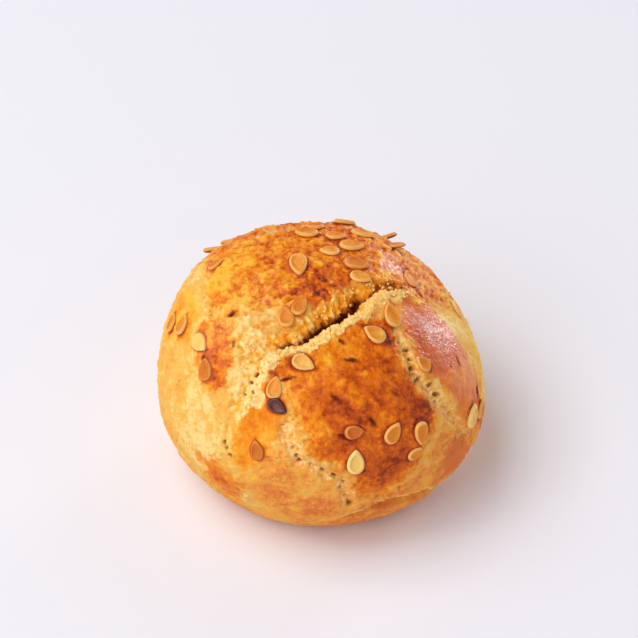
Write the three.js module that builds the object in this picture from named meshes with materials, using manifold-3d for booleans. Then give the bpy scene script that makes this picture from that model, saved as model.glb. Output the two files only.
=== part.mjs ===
// Cheese borek: a small round savoury pastry. Its egg-washed crust tore open in the oven, and sesame
// seeds are baked onto it, so dough and seeds are one solid.
// Millimetres, +Z up. The origin is the middle of the flat base, and the side with the wide tear faces -Y.

import * as THREE from "three";
import { mergeVertices } from "three/addons/utils/BufferGeometryUtils.js";
import Module from "manifold-3d";

// ---------------------------------------------------------------- driving dimensions

const WIDTH = 49.5; // left to right, at the waist
const DEPTH = 49; // front to back, at the waist
const WAIST = 15.5; // height of the widest level above the table
const CROWN = 20.5; // rise from the waist to the top
const BELLY = 22; // drop from the waist to where the round underside would close, below the table
const BASE_ROUNDING = 2; // of the edge where the side turns under to the base

// Marks are placed as [right, up], in millimetres from the heart of the bun, as a person sees them who
// looks down on it by this angle from the front. The heart is the point at the middle of the waist.
const LOOK_DOWN = THREE.MathUtils.degToRad(45);

// Broad unevenness of the ball: [right, up, spread, height].
const LUMPS = [
  [-14.5, 17, 11, 1.5],
  [19, 12, 12, -2.3],
  [-21.5, -12, 8, 0.3],
  [21.5, -11.5, 9, 0.7],
  [4, -6, 11, 0.6],
];

// Ripples all over the dough: [wavelength, height].
const RIPPLES = [
  [15, 0.25],
  [6.5, 0.12],
];

// Tears in the crust. points are [right, up, depth], from right to left. uphill and downhill say how far
// each wall runs for each millimetre of depth, and lip is how far the downhill edge stands up.
const TEARS = [
  {
    // the wide tear over the top, which runs out down the left side
    uphill: 1.1,
    downhill: 0.3,
    lip: 0.65,
    points: [
      [18.8, 9.6, 0.3],
      [16.5, 11.9, 0.6],
      [14, 12.8, 0.9],
      [12, 13.3, 1.2],
      [9.8, 13.1, 1.5],
      [7.9, 12.5, 1.9],
      [6.2, 11.4, 2.7],
      [5.1, 10.1, 3.3],
      [3, 8.7, 3.3],
      [1.3, 8, 3.1],
      [-0.3, 7, 3],
      [-1.9, 5.8, 2.8],
      [-3.5, 4.7, 2.6],
      [-5.5, 4.4, 2.5],
      [-7.8, 3.5, 2.3],
      [-9.4, 1.9, 2.1],
      [-10, 0, 1.8],
      [-10.7, -1.8, 1.4],
      [-11.9, -3.3, 1.1],
      [-12.7, -5.2, 0.8],
      [-13.5, -7.3, 0.6],
      [-14, -9.7, 0.5],
      [-13.5, -11.6, 0.2],
    ],
  },
  {
    // the porous seam between the front and the right of the crust
    uphill: 1.8,
    downhill: 1.8,
    lip: 0.15,
    points: [
      [21.2, -9.1, 0.4],
      [19.7, -7, 0.6],
      [18.2, -5.5, 0.6],
      [17, -3.6, 0.7],
      [15.5, -2.1, 0.6],
      [13.9, -0.5, 0.6],
      [13, 1.8, 0.5],
      [12.4, 3.6, 0.5],
      [11.4, 6.4, 0.3],
    ],
  },
  {
    // the porous seam low on the front
    uphill: 1.8,
    downhill: 1.8,
    lip: 0.15,
    points: [
      [4.1, -19.4, 0.3],
      [3.3, -17, 0.6],
      [2.1, -15.5, 0.6],
      [0.3, -14.5, 0.6],
      [-1.5, -13.3, 0.6],
      [-3.3, -12.7, 0.6],
      [-4.4, -10.3, 0.5],
      [-5, -7.9, 0.4],
      [-5.8, -5.8, 0.2],
    ],
  },
  {
    // the crease over the foot, low on the right
    uphill: 0.35,
    downhill: 1.1,
    lip: 0.2,
    points: [
      [17.9, -16.1, 0.4],
      [15.8, -17.6, 0.9],
      [13.3, -18.3, 1.3],
      [10.9, -18.8, 1.5],
      [8.5, -19.5, 1.4],
      [5.9, -20.6, 1.1],
      [3.6, -21.4, 0.8],
      [1.2, -21.8, 0.3],
    ],
  },
  {
    // seen from behind: the wide tear's other end, and a seam that it leads to
    behind: true,
    uphill: 1.6,
    downhill: 1.2,
    lip: 0.25,
    points: [
      [9, 4.5, 0.3],
      [4.5, 1, 0.8],
      [0.5, -1, 0.9],
      [-4.5, -2, 0.9],
      [-9.5, -5.5, 0.7],
      [-13, -9.5, 0.3],
    ],
  },
];

const NARROWEST_WALL = 0.45; // run of a tear's wall where the tear ends
const LIP_WIDTH = 1.3;
const SHALLOW = 0.6; // depth up to which a tear is a soft groove
const DEEP = 1.4; // depth from which its walls are straight and its edges crisp
const UPHILL_BULGE = 0.3; // 0 is a flat wall
const DOWNHILL_BULGE = 0.6;
const RAGGED_WAVELENGTHS = [4.6, 4.1, 5.1]; // of a tear's ragged line, in X, Y and Z
const RAGGED_BY = 0.4;

// Sesame seeds, half sunk in the crust. A seed of size 1 is as long as this.
const SEED_LENGTH = 3.5;
const SEED_WIDTH = 2.25;
const SEED_THICKNESS = 1;
const SEED_NARROWING = 0.28; // share by which the tip's end is slimmer, and the other end fuller
const SEED_LIFT = 0.2; // of a seed's middle above the crust
const TILT_LIFT = 0.25; // of a tilted seed's middle, as a share of its length's rise, so one end stays sunk
const SIZE_SPREAD = 0.15; // share by which a seed of the far side is larger or smaller
const SEED_SIDES = 6;
const SEED_RINGS = 4;

// Where the seeds of the front lie: [right, up, turn, size, tilt], with turn in degrees from right towards
// up. A tilt, also in degrees, lifts the seed's tip off the crust, and a negative one its round end.
const FRONT_SEEDS = [
  [-17, 18.9, 170, 0.85, 30],
  [-14.2, 19.8, 150, 0.75, 20],
  [-9, 21.1, 20, 0.85],
  [-14, 19.4, 35, 0.85],
  [-1.1, 21.7, 135, 0.85],
  [-2.3, 20.4, 150, 1.05],
  [2, 20.4, 5, 0.9],
  [1.1, 18.2, 175, 0.9],
  [-3.4, 15.6, -82, 1.1, -20],
  [-5.2, 8.2, 98, 1],
  [-3.2, 9.7, 62, 0.9],
  [-17.9, 4.4, -38, 1.05],
  [-20.4, 7, 72, 0.95],
  [-22, 7.3, 104, 0.9],
  [-17, 0.6, 100, 1],
  [-2.7, 1.6, -28, 1.05],
  [-6.9, -2, 80, 1],
  [-14.9, 15.1, 20, 0.75],
  [3.4, 22.4, 0, 1],
  [6.1, 20.9, -25, 1.05],
  [5.2, 16.5, -6, 1.15],
  [5.8, 14.4, -16, 0.95],
  [4.5, 19.2, 15, 1.1],
  [10.2, 20.7, 50, 0.8, 40],
  [11.4, 19.4, -12, 0.85, 30],
  [10.3, 8.6, 96, 1.15],
  [7.6, 5.8, 150, 1.05],
  [15, 1.5, 150, 0.85],
  [21.8, 10.2, 112, 0.95],
  [14.3, 15.2, 80, 1],
  [22.2, -6.4, 95, 1.1],
  [23.5, -5.4, 86, 0.9],
  [10.2, -8.5, 64, 1],
  [14.3, -8.6, -80, 1.05],
  [4.6, -8.3, 4, 0.85],
  [13.4, -11.5, 30, 0.75],
  [4.8, -12.6, 92, 1.1, -10],
  [-6.4, -4.7, -32, 0.95],
  [-9.5, -11.1, 90, 0.9],
];

// The seeds of the far side are strewn evenly round the top, down to this angle from upright.
const STREWN_SEEDS = 84;
const STREWN_DOWN_TO = THREE.MathUtils.degToRad(86);
const STREWN_JITTER = 0.35; // radians round the top
const FACES_FRONT = -0.2; // cosine between the crust's normal and the front's line of sight

// Fineness of the dough's surface: edges as long as this, and shorter beside a tear.
const FACES_ROUND_ICOSAHEDRON = 12;
const EDGE_NEAR_TEAR = 0.9;
const EDGE_IN_TEAR = 0.65;
const EDGE_ON_STEEP_WALL = 0.4;
const TEAR_MARGIN = 1.3; // mm past a tear's walls that still count as near
const DRAWN_IN = 0.2; // a corner this near the bottom or the edge of a tear lies on it

// ---------------------------------------------------------------- the ball of dough

const sightLines = (behind) => {
  const side = behind ? -1 : 1;
  return {
    right: new THREE.Vector3(side, 0, 0),
    up: new THREE.Vector3(0, side * Math.sin(LOOK_DOWN), Math.cos(LOOK_DOWN)),
    near: new THREE.Vector3(0, -side * Math.cos(LOOK_DOWN), Math.sin(LOOK_DOWN)),
  };
};

// The half axes of the plain ball above or below the waist.
const halfAxes = (above) => new THREE.Vector3(WIDTH / 2, DEPTH / 2, above ? CROWN : BELLY);

// The point of the plain ball, from its heart, that is seen at [right, up].
function seenAt(right, up, behind = false) {
  const sight = sightLines(behind);
  const start = sight.right.clone().multiplyScalar(right).addScaledVector(sight.up, up);
  const hit = (above) => {
    const s = start.clone().divide(halfAxes(above));
    const n = sight.near.clone().divide(halfAxes(above));
    const root = Math.sqrt(Math.max(s.dot(n) ** 2 - n.dot(n) * (s.dot(s) - 1), 0));
    return start.clone().addScaledVector(sight.near, (root - s.dot(n)) / n.dot(n));
  };
  const onCrown = hit(true);
  return onCrown.z >= 0 ? onCrown : hit(false);
}

// The point of the plain ball in a direction from its heart.
function plainPoint(direction) {
  const reach = 1 / direction.clone().divide(halfAxes(direction.z >= 0)).length();
  return direction.clone().multiplyScalar(reach);
}

// The outward normal of the plain ball at one of its points.
function plainNormal(point) {
  const half = halfAxes(point.z >= 0);
  return point.clone().divide(half).divide(half).normalize();
}

// Smooth bumps between -1 and 1: three crossing waves, all of one wavelength.
function waves(p, wavelength, shift) {
  const k = (2 * Math.PI) / wavelength;
  return (
    (Math.sin(k * (p.x + 0.6 * p.y) + shift) +
      Math.sin(k * (0.8 * p.y - 0.6 * p.z) + 2.1 * shift) +
      Math.sin(k * (0.9 * p.z - 0.7 * p.x) + 3.7 * shift)) /
    3
  );
}

const lumps = LUMPS.map(([right, up, spread, height]) => ({
  centre: seenAt(right, up),
  spread,
  height,
}));

// How far the dough's unevenness raises a point of the plain ball.
function unevenness(p) {
  let height = 0;
  for (const lump of lumps) {
    height += lump.height * Math.exp(-p.distanceToSquared(lump.centre) / lump.spread ** 2);
  }
  RIPPLES.forEach(([wavelength, rise], i) => {
    height += rise * waves(p, wavelength, i + 1);
  });
  return height;
}

// ---------------------------------------------------------------- tears

const tears = TEARS.map((tear) => ({
  ...tear,
  points: tear.points.map(([right, up, depth]) => ({
    place: seenAt(right, up, tear.behind),
    depth,
  })),
}));

// Makes a tear's line ragged: the point that is measured shifts a little to and fro.
function ragged(p) {
  const shifts = RAGGED_WAVELENGTHS.map((wavelength, i) => waves(p, wavelength, i + 3));
  return p.clone().addScaledVector(new THREE.Vector3(...shifts), RAGGED_BY);
}

// How far a point lies from a tear's line, on its uphill side if positive, where the line is nearest, and
// how deep the tear is there.
function across(tear, p) {
  let nearest = { distance: Infinity };
  for (let i = 1; i < tear.points.length; i++) {
    const from = tear.points[i - 1];
    const to = tear.points[i];
    const along = to.place.clone().sub(from.place);
    const share = THREE.MathUtils.clamp(
      p.clone().sub(from.place).dot(along) / along.lengthSq(),
      0,
      1,
    );
    const foot = from.place.clone().addScaledVector(along, share);
    const distance = p.distanceTo(foot);
    if (distance < Math.abs(nearest.distance)) {
      const uphill = along.cross(foot).dot(p.clone().sub(foot)) >= 0;
      const depth = THREE.MathUtils.lerp(from.depth, to.depth, share);
      nearest = { distance: uphill ? distance : -distance, foot, depth };
    }
  }
  return nearest;
}

// How far the wall of a tear runs on the side of its line that a distance lies on.
const wallRun = (tear, distance, depth) =>
  depth * (distance > 0 ? tear.uphill : tear.downhill) + NARROWEST_WALL;

// How much a tear raises the surface at a point: down between its walls, up on its downhill lip. A deep
// tear's walls are straight and meet in a crisp line, and a shallow one is a soft groove.
function tearHeight(tear, p) {
  const { distance, depth } = across(tear, p);
  const sunk = Math.max(0, 1 - Math.abs(distance) / wallRun(tear, distance, depth));
  const groove = sunk * sunk * (3 - 2 * sunk);
  const bulge = distance > 0 ? UPHILL_BULGE : DOWNHILL_BULGE;
  const wall = sunk * (1 + bulge * (1 - sunk));
  const crisp = THREE.MathUtils.smoothstep(depth, SHALLOW, DEEP);
  const fromLip = distance + wallRun(tear, -1, depth) + LIP_WIDTH / 2;
  const lip = Math.exp(-((fromLip / LIP_WIDTH) ** 2)) * Math.min(depth, 1);
  return tear.lip * lip - depth * THREE.MathUtils.lerp(groove, wall, crisp);
}

// The longest edge that the surface may have at a point. It is shorter the steeper a tear's wall is.
function longestEdge(p) {
  const wanted = tears.map((tear) => {
    const { distance, depth } = across(tear, p);
    const run = wallRun(tear, distance, depth);
    const clear = Math.abs(distance) - run;
    if (clear > TEAR_MARGIN) return Infinity;
    if (clear > 0) return EDGE_NEAR_TEAR;
    return depth > run ? EDGE_ON_STEEP_WALL : EDGE_IN_TEAR;
  });
  return Math.min(...wanted);
}

// A point of the plain ball, moved onto a tear's bottom line or a wall's edge if that is close by.
function drawnToEdges(plain) {
  const measured = ragged(plain);
  for (const tear of tears) {
    const { distance, foot, depth } = across(tear, measured);
    const uphill = measured.clone().sub(foot).divideScalar(distance || 1);
    for (const edge of [0, wallRun(tear, 1, depth), -wallRun(tear, -1, depth)]) {
      const gap = edge - distance;
      if (depth > SHALLOW && Math.abs(gap) < DRAWN_IN) return plain.clone().addScaledVector(uphill, gap);
    }
  }
  return plain;
}

// ---------------------------------------------------------------- the dough's surface

// The lesser of two lengths, blended over the base's rounding where they are close.
function blendedMin(a, b) {
  const overlap = Math.max(BASE_ROUNDING - Math.abs(a - b), 0) / BASE_ROUNDING;
  return Math.min(a, b) - (overlap ** 2 * BASE_ROUNDING) / 4;
}

// The point of the crust in a direction from the heart, in the part's own frame.
function crustPoint(direction) {
  const plain = plainPoint(direction);
  const measured = ragged(plain);
  let reach = plain.length() + unevenness(plain);
  for (const tear of tears) reach += tearHeight(tear, measured);
  if (direction.z < 0) reach = blendedMin(reach, WAIST / -direction.z);
  const point = direction.clone().multiplyScalar(reach);
  point.z += WAIST;
  if (Math.abs(point.z) < 1e-3) point.z = 0;
  return point;
}

// Cuts a triangle of directions at the middle of each edge that is too long.
function splitTriangle([a, b, c]) {
  const middle = (p, q) => {
    const mid = p.clone().add(q).normalize();
    const plain = plainPoint(mid);
    const tooLong = longestEdge(ragged(plain)) * Math.SQRT2;
    return p.distanceTo(q) * plain.length() > tooLong ? mid : null;
  };
  const [ab, bc, ca] = [middle(a, b), middle(b, c), middle(c, a)];
  if (ab && bc && ca) return [[a, ab, ca], [ab, b, bc], [ca, bc, c], [ab, bc, ca]];
  const outline = [a, ab, b, bc, c, ca].filter(Boolean);
  const start = Math.max(outline.indexOf([ab, bc, ca].find(Boolean)), 0);
  const fan = [...outline.slice(start), ...outline.slice(0, start)];
  return fan.slice(2).map((corner, i) => [fan[0], fan[i + 1], corner]);
}

function doughGeometry() {
  const ball = new THREE.IcosahedronGeometry(1, FACES_ROUND_ICOSAHEDRON);
  const corner = new THREE.Vector3();
  const directions = [];
  for (let i = 0; i < ball.attributes.position.count; i++) {
    corner.fromBufferAttribute(ball.attributes.position, i);
    directions.push(corner.clone().normalize());
  }
  let triangles = [];
  for (let i = 0; i < directions.length; i += 3) triangles.push(directions.slice(i, i + 3));
  for (let count = 0; count !== triangles.length; ) {
    count = triangles.length;
    triangles = triangles.flatMap(splitTriangle);
  }
  const points = triangles.flat().map((d) => crustPoint(drawnToEdges(plainPoint(d)).normalize()));
  return new THREE.BufferGeometry().setFromPoints(points);
}

// ---------------------------------------------------------------- seeds

// Repeatable random numbers from 0 to 1.
function randomFrom(seed) {
  let state = seed;
  return () => {
    state = (Math.imul(state, 1664525) + 1013904223) >>> 0;
    return state / 2 ** 32;
  };
}

// A seed of size 1 lying along Y with its tip at +Y: a flattened drop.
function seedGeometry() {
  const seed = new THREE.SphereGeometry(1, SEED_SIDES, SEED_RINGS);
  const place = seed.attributes.position;
  for (let i = 0; i < place.count; i++) {
    const along = place.getY(i);
    const narrowing = 1 - SEED_NARROWING * along;
    place.setXYZ(
      i,
      (place.getX(i) * narrowing * SEED_WIDTH) / 2,
      (along * SEED_LENGTH) / 2,
      (place.getZ(i) * SEED_THICKNESS) / 2,
    );
  }
  return seed;
}

// Where a seed lies: on the crust in a direction, pointing along heading as well as the crust allows, made
// larger by its size, and its tip tilted up by an angle.
function seedPlace(direction, heading, size, tilt = 0) {
  const out = plainNormal(plainPoint(direction));
  const along = heading.clone().projectOnPlane(out).normalize();
  const aside = along.clone().cross(out);
  const lift = SEED_LIFT + TILT_LIFT * Math.abs(Math.sin(tilt)) * size * SEED_LENGTH;
  return new THREE.Matrix4()
    .makeBasis(aside, along, out)
    .multiply(new THREE.Matrix4().makeRotationX(tilt))
    .multiply(new THREE.Matrix4().makeScale(size, size, size))
    .setPosition(crustPoint(direction).addScaledVector(out, lift));
}

function frontSeedPlaces() {
  const sight = sightLines(false);
  return FRONT_SEEDS.map(([right, up, turnDegrees, size, tiltDegrees = 0]) => {
    const turn = THREE.MathUtils.degToRad(turnDegrees);
    const tilt = THREE.MathUtils.degToRad(tiltDegrees);
    const heading = sight.right.clone().multiplyScalar(Math.cos(turn));
    heading.addScaledVector(sight.up, Math.sin(turn));
    return seedPlace(seenAt(right, up).normalize(), heading, size, tilt);
  });
}

// The far side's seeds follow a sunflower's spiral round the top, each a little off its place. Where the
// crust faces the front more than FACES_FRONT says, the front's own seeds lie instead.
function strewnSeedPlaces() {
  const random = randomFrom(7);
  const sight = sightLines(false);
  const places = [];
  for (let i = 0; i < STREWN_SEEDS; i++) {
    const share = (i + 0.5) / STREWN_SEEDS;
    const down = Math.acos(1 - share * (1 - Math.cos(STREWN_DOWN_TO)));
    const bearing = i * Math.PI * (3 - Math.sqrt(5)) + STREWN_JITTER * random();
    const direction = new THREE.Vector3().setFromSphericalCoords(1, down, bearing);
    direction.set(direction.x, direction.z, direction.y);
    const turn = 2 * Math.PI * random();
    const heading = new THREE.Vector3(Math.cos(turn), Math.sin(turn), 0.1);
    const size = 1 + SIZE_SPREAD * (2 * random() - 1);
    const normal = plainNormal(plainPoint(direction));
    if (normal.dot(sight.near) < FACES_FRONT) places.push(seedPlace(direction, heading, size));
  }
  return places;
}

// ---------------------------------------------------------------- fusing

const manifold = await Module();
manifold.setup();

// A closed three.js geometry as a solid that can be joined.
function solidFrom(geometry) {
  const bare = geometry.clone();
  for (const name of Object.keys(bare.attributes)) {
    if (name !== "position") bare.deleteAttribute(name);
  }
  const merged = mergeVertices(bare, 1e-4);
  return new manifold.Manifold(
    new manifold.Mesh({
      numProp: 3,
      vertProperties: merged.attributes.position.array,
      triVerts: new Uint32Array(merged.index.array),
    }),
  );
}

// A joined solid as a three.js geometry.
function geometryFrom(solid) {
  const mesh = solid.getMesh();
  const geometry = new THREE.BufferGeometry();
  geometry.setAttribute("position", new THREE.BufferAttribute(mesh.vertProperties, 3));
  geometry.setIndex(new THREE.BufferAttribute(mesh.triVerts, 1));
  geometry.computeVertexNormals();
  return geometry;
}

// The dough with every seed baked on.
function borekGeometry() {
  const seeds = [...frontSeedPlaces(), ...strewnSeedPlaces()].map((place) =>
    solidFrom(seedGeometry().applyMatrix4(place)),
  );
  return geometryFrom(seeds.reduce((whole, seed) => whole.add(seed), solidFrom(doughGeometry())));
}

// ---------------------------------------------------------------- the model

const crust = new THREE.MeshStandardMaterial({ color: 0xdc8a35, roughness: 0.45, metalness: 0 });

const borek = new THREE.Mesh(borekGeometry(), crust);
borek.name = "borek";

const pastry = new THREE.Group();
pastry.add(borek);

export default pastry;
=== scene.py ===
"""Cheese borek: the looks of a small round sesame-topped pastry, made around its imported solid.

Laid out as a Blender add-on and run as a script. The dough, its crumbs and its seeds each have an
operator, and the stage has one too. Lengths in the tables below are millimetres; Blender's are metres.
"""

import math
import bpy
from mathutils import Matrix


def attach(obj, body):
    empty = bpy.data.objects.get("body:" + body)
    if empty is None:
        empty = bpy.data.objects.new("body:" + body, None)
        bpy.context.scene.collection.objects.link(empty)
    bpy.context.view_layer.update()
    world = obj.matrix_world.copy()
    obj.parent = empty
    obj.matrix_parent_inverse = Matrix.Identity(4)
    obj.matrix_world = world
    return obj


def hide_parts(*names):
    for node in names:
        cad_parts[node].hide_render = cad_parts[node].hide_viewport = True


bl_info = {
    "name": "Cheese Borek",
    "version": (1, 0, 0),
    "blender": (4, 5, 0),
    "location": "3D View > Sidebar > Borek",
    "description": "Makes a cheese borek with a torn, glazed crust, its seeds, its lights and its camera",
    "category": "Object",
}

from types import SimpleNamespace

import bmesh
import bpy
import numpy as np
from bpy.props import FloatProperty, FloatVectorProperty, PointerProperty
from mathutils import Matrix, Vector

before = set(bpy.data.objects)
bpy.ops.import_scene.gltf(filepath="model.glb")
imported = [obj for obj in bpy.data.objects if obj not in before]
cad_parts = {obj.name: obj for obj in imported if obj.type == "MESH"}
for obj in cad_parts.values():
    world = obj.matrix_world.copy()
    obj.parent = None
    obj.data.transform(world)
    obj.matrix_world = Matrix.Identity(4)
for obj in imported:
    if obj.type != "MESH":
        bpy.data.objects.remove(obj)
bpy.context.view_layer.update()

MM = 0.001

# Heights on a ball of directions, from -1 straight down to 1 straight up: the studio's walls are pale up
# to the first, and its ceiling is dark from the second.
WALL_TOP = 0.42
CEILING_EDGE = 0.77

# ---------------------------------------------------------------- the dough's form, as in the solid

WIDTH = 49.5  # left to right, at the waist
DEPTH = 49.0  # front to back, at the waist
WAIST = 15.5  # height of the widest level above the table
CROWN = 20.5  # rise from the waist to the top
BELLY = 22.0  # drop from the waist to where the round underside would close
BASE_ROUNDING = 2.0  # of the edge where the side turns under to the base

# Marks are placed as (right, up) from the heart of the bun, the point at the middle of its waist, as
# they are seen from the front by a person who looks down on it by this angle.
LOOK_DOWN = math.radians(45)

# (right, up, spread, height)
LUMPS = (
    (-14.5, 17, 11, 1.5), (19, 12, 12, -2.3), (-21.5, -12, 8, 0.3), (21.5, -11.5, 9, 0.7),
    (4, -6, 11, 0.6),
)
RIPPLES = ((15, 0.25), (6.5, 0.12))  # (wavelength, height)

# Tears: how far each wall runs for each millimetre of depth, how far the downhill lip stands up, and
# the line as (right, up, depth), from right to left.
TEARS = (
    {
        "name": "wide tear",
        "behind": False,
        "uphill": 1.1,
        "downhill": 0.3,
        "lip": 0.65,
        "points": (
            (18.8, 9.6, 0.3), (16.5, 11.9, 0.6), (14, 12.8, 0.9), (12, 13.3, 1.2), (9.8, 13.1, 1.5),
            (7.9, 12.5, 1.9), (6.2, 11.4, 2.7), (5.1, 10.1, 3.3), (3, 8.7, 3.3), (1.3, 8, 3.1),
            (-0.3, 7, 3), (-1.9, 5.8, 2.8), (-3.5, 4.7, 2.6), (-5.5, 4.4, 2.5), (-7.8, 3.5, 2.3),
            (-9.4, 1.9, 2.1), (-10, 0, 1.8), (-10.7, -1.8, 1.4), (-11.9, -3.3, 1.1), (-12.7, -5.2, 0.8),
            (-13.5, -7.3, 0.6), (-14, -9.7, 0.5), (-13.5, -11.6, 0.2),
        ),
    },
    {
        "name": "right seam",
        "behind": False,
        "uphill": 1.8,
        "downhill": 1.8,
        "lip": 0.15,
        "points": (
            (21.2, -9.1, 0.4), (19.7, -7, 0.6), (18.2, -5.5, 0.6), (17, -3.6, 0.7), (15.5, -2.1, 0.6),
            (13.9, -0.5, 0.6), (13, 1.8, 0.5), (12.4, 3.6, 0.5), (11.4, 6.4, 0.3),
        ),
    },
    {
        "name": "front seam",
        "behind": False,
        "uphill": 1.8,
        "downhill": 1.8,
        "lip": 0.15,
        "points": (
            (4.1, -19.4, 0.3), (3.3, -17, 0.6), (2.1, -15.5, 0.6), (0.3, -14.5, 0.6), (-1.5, -13.3, 0.6),
            (-3.3, -12.7, 0.6), (-4.4, -10.3, 0.5), (-5, -7.9, 0.4), (-5.8, -5.8, 0.2),
        ),
    },
    {
        "name": "foot crease",
        "behind": False,
        "uphill": 0.35,
        "downhill": 1.1,
        "lip": 0.2,
        "points": (
            (17.9, -16.1, 0.4), (15.8, -17.6, 0.9), (13.3, -18.3, 1.3), (10.9, -18.8, 1.5),
            (8.5, -19.5, 1.4), (5.9, -20.6, 1.1), (3.6, -21.4, 0.8), (1.2, -21.8, 0.3),
        ),
    },
    {
        "name": "back tear",
        "behind": True,
        "uphill": 1.6,
        "downhill": 1.2,
        "lip": 0.25,
        "points": (
            (9, 4.5, 0.3), (4.5, 1, 0.8), (0.5, -1, 0.9), (-4.5, -2, 0.9), (-9.5, -5.5, 0.7),
            (-13, -9.5, 0.3),
        ),
    },
)
NARROWEST_WALL = 0.45
LIP_WIDTH = 1.3
SHALLOW = 0.6  # depth up to which a tear is a soft groove
DEEP = 1.4  # depth from which its walls are straight
UPHILL_BULGE = 0.3
DOWNHILL_BULGE = 0.6
UPHILL_STRAIGHTNESS = 0.55  # worn by the oven, so less than the solid's
CRACK_WIDTH = 0.3  # of the split along the bottom of a deep tear
CRACK_DEPTH = 0.9
RAGGED_WAVELENGTHS = (4.6, 4.1, 5.1)
RAGGED_BY = 0.4

# ---------------------------------------------------------------- sesame seeds, as in the solid

SEED_LENGTH = 3.5
SEED_WIDTH = 2.25
SEED_THICKNESS = 1.0
SEED_NARROWING = 0.28
SEED_POINTEDNESS = 0.35  # of its tip, beyond the solid's
SEED_LIFT = 0.2  # of its middle above the crust
TILT_LIFT = 0.25  # how much more it is lifted when tilted, as a share of its length
SIZE_SPREAD = 0.15
BURNT = 2.0  # the tone of a burnt seed; the others' run from 0, pale, to 1, soaked in egg wash

# A seed's section from its middle out to its rim, over it and back under it: (share of the way out,
# height, where 1 is half its thickness).
SEED_SECTION = (
    (0.3, 0.5), (0.5, 0.54), (0.6, 0.64), (0.68, 0.8), (0.77, 0.86), (0.87, 0.68), (0.95, 0.36),
    (1, -0.05), (0.95, -0.45), (0.6, -0.85),
)

# (right, up, turn, size, tilt, tone), with turn and tilt in degrees
FRONT_SEEDS = (
    (-17, 18.9, 170, 0.85, 30, 0.8), (-14.2, 19.8, 150, 0.75, 20, 0.7), (-9, 21.1, 20, 0.85, 0, 0.4),
    (-14, 19.4, 35, 0.85, 0, 0.5), (-1.1, 21.7, 135, 0.85, 0, 0.7), (-2.3, 20.4, 150, 1.05, 0, 0.6),
    (2, 20.4, 5, 0.9, 0, 0.5), (1.1, 18.2, 175, 0.9, 0, 0.35), (-3.4, 15.6, -82, 1.1, -20, 0.4),
    (-5.2, 8.2, 98, 1, 0, 0.55), (-3.2, 9.7, 62, 0.9, 0, 0.6), (-17.9, 4.4, -38, 1.05, 0, 0.05),
    (-20.4, 7, 72, 0.95, 0, 0.5), (-22, 7.3, 104, 0.9, 0, 0.6), (-17, 0.6, 100, 1, 0, 0.85),
    (-2.7, 1.6, -28, 1.05, 0, 0.25), (-6.9, -2, 80, 1, 0, 0.4), (-14.9, 15.1, 20, 0.75, 0, 0.65),
    (3.4, 22.4, 0, 1, 0, 0.6), (6.1, 20.9, -25, 1.05, 0, 0.5), (5.2, 16.5, -6, 1.15, 0, 0.75),
    (5.8, 14.4, -16, 0.95, 0, 0.4), (4.5, 19.2, 15, 1.1, 0, 0.45), (10.2, 20.7, 50, 0.8, 40, 0.7),
    (11.4, 19.4, -12, 0.85, 30, 0.7), (10.3, 8.6, 96, 1.15, 0, 0.5), (7.6, 5.8, 150, 1.05, 0, 0.4),
    (15, 1.5, 150, 0.85, 0, 0.55), (21.8, 10.2, 112, 0.95, 0, 0.35), (14.3, 15.2, 80, 1, 0, 0.6),
    (22.2, -6.4, 95, 1.1, 0, 0.15), (23.5, -5.4, 86, 0.9, 0, 0.45), (10.2, -8.5, 64, 1, 0, 0.5),
    (14.3, -8.6, -80, 1.05, 0, 0.5), (4.6, -8.3, 4, 0.85, 0, 0.95), (13.4, -11.5, 30, 0.75, 0, 0.45),
    (4.8, -12.6, 92, 1.1, -10, 0.0), (-6.4, -4.7, -32, 0.95, 0, BURNT), (-9.5, -11.1, 90, 0.9, 0, 0.9),
)
STREWN_SEEDS = 84  # on the whole top; only those of the far side are laid
STREWN_DOWN_TO = math.radians(86)
STREWN_JITTER = 0.35
FACES_FRONT = -0.2  # how much the crust faces the eye, above which strewn seeds are left out

# ---------------------------------------------------------------- where the crust is glazed and browned

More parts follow.
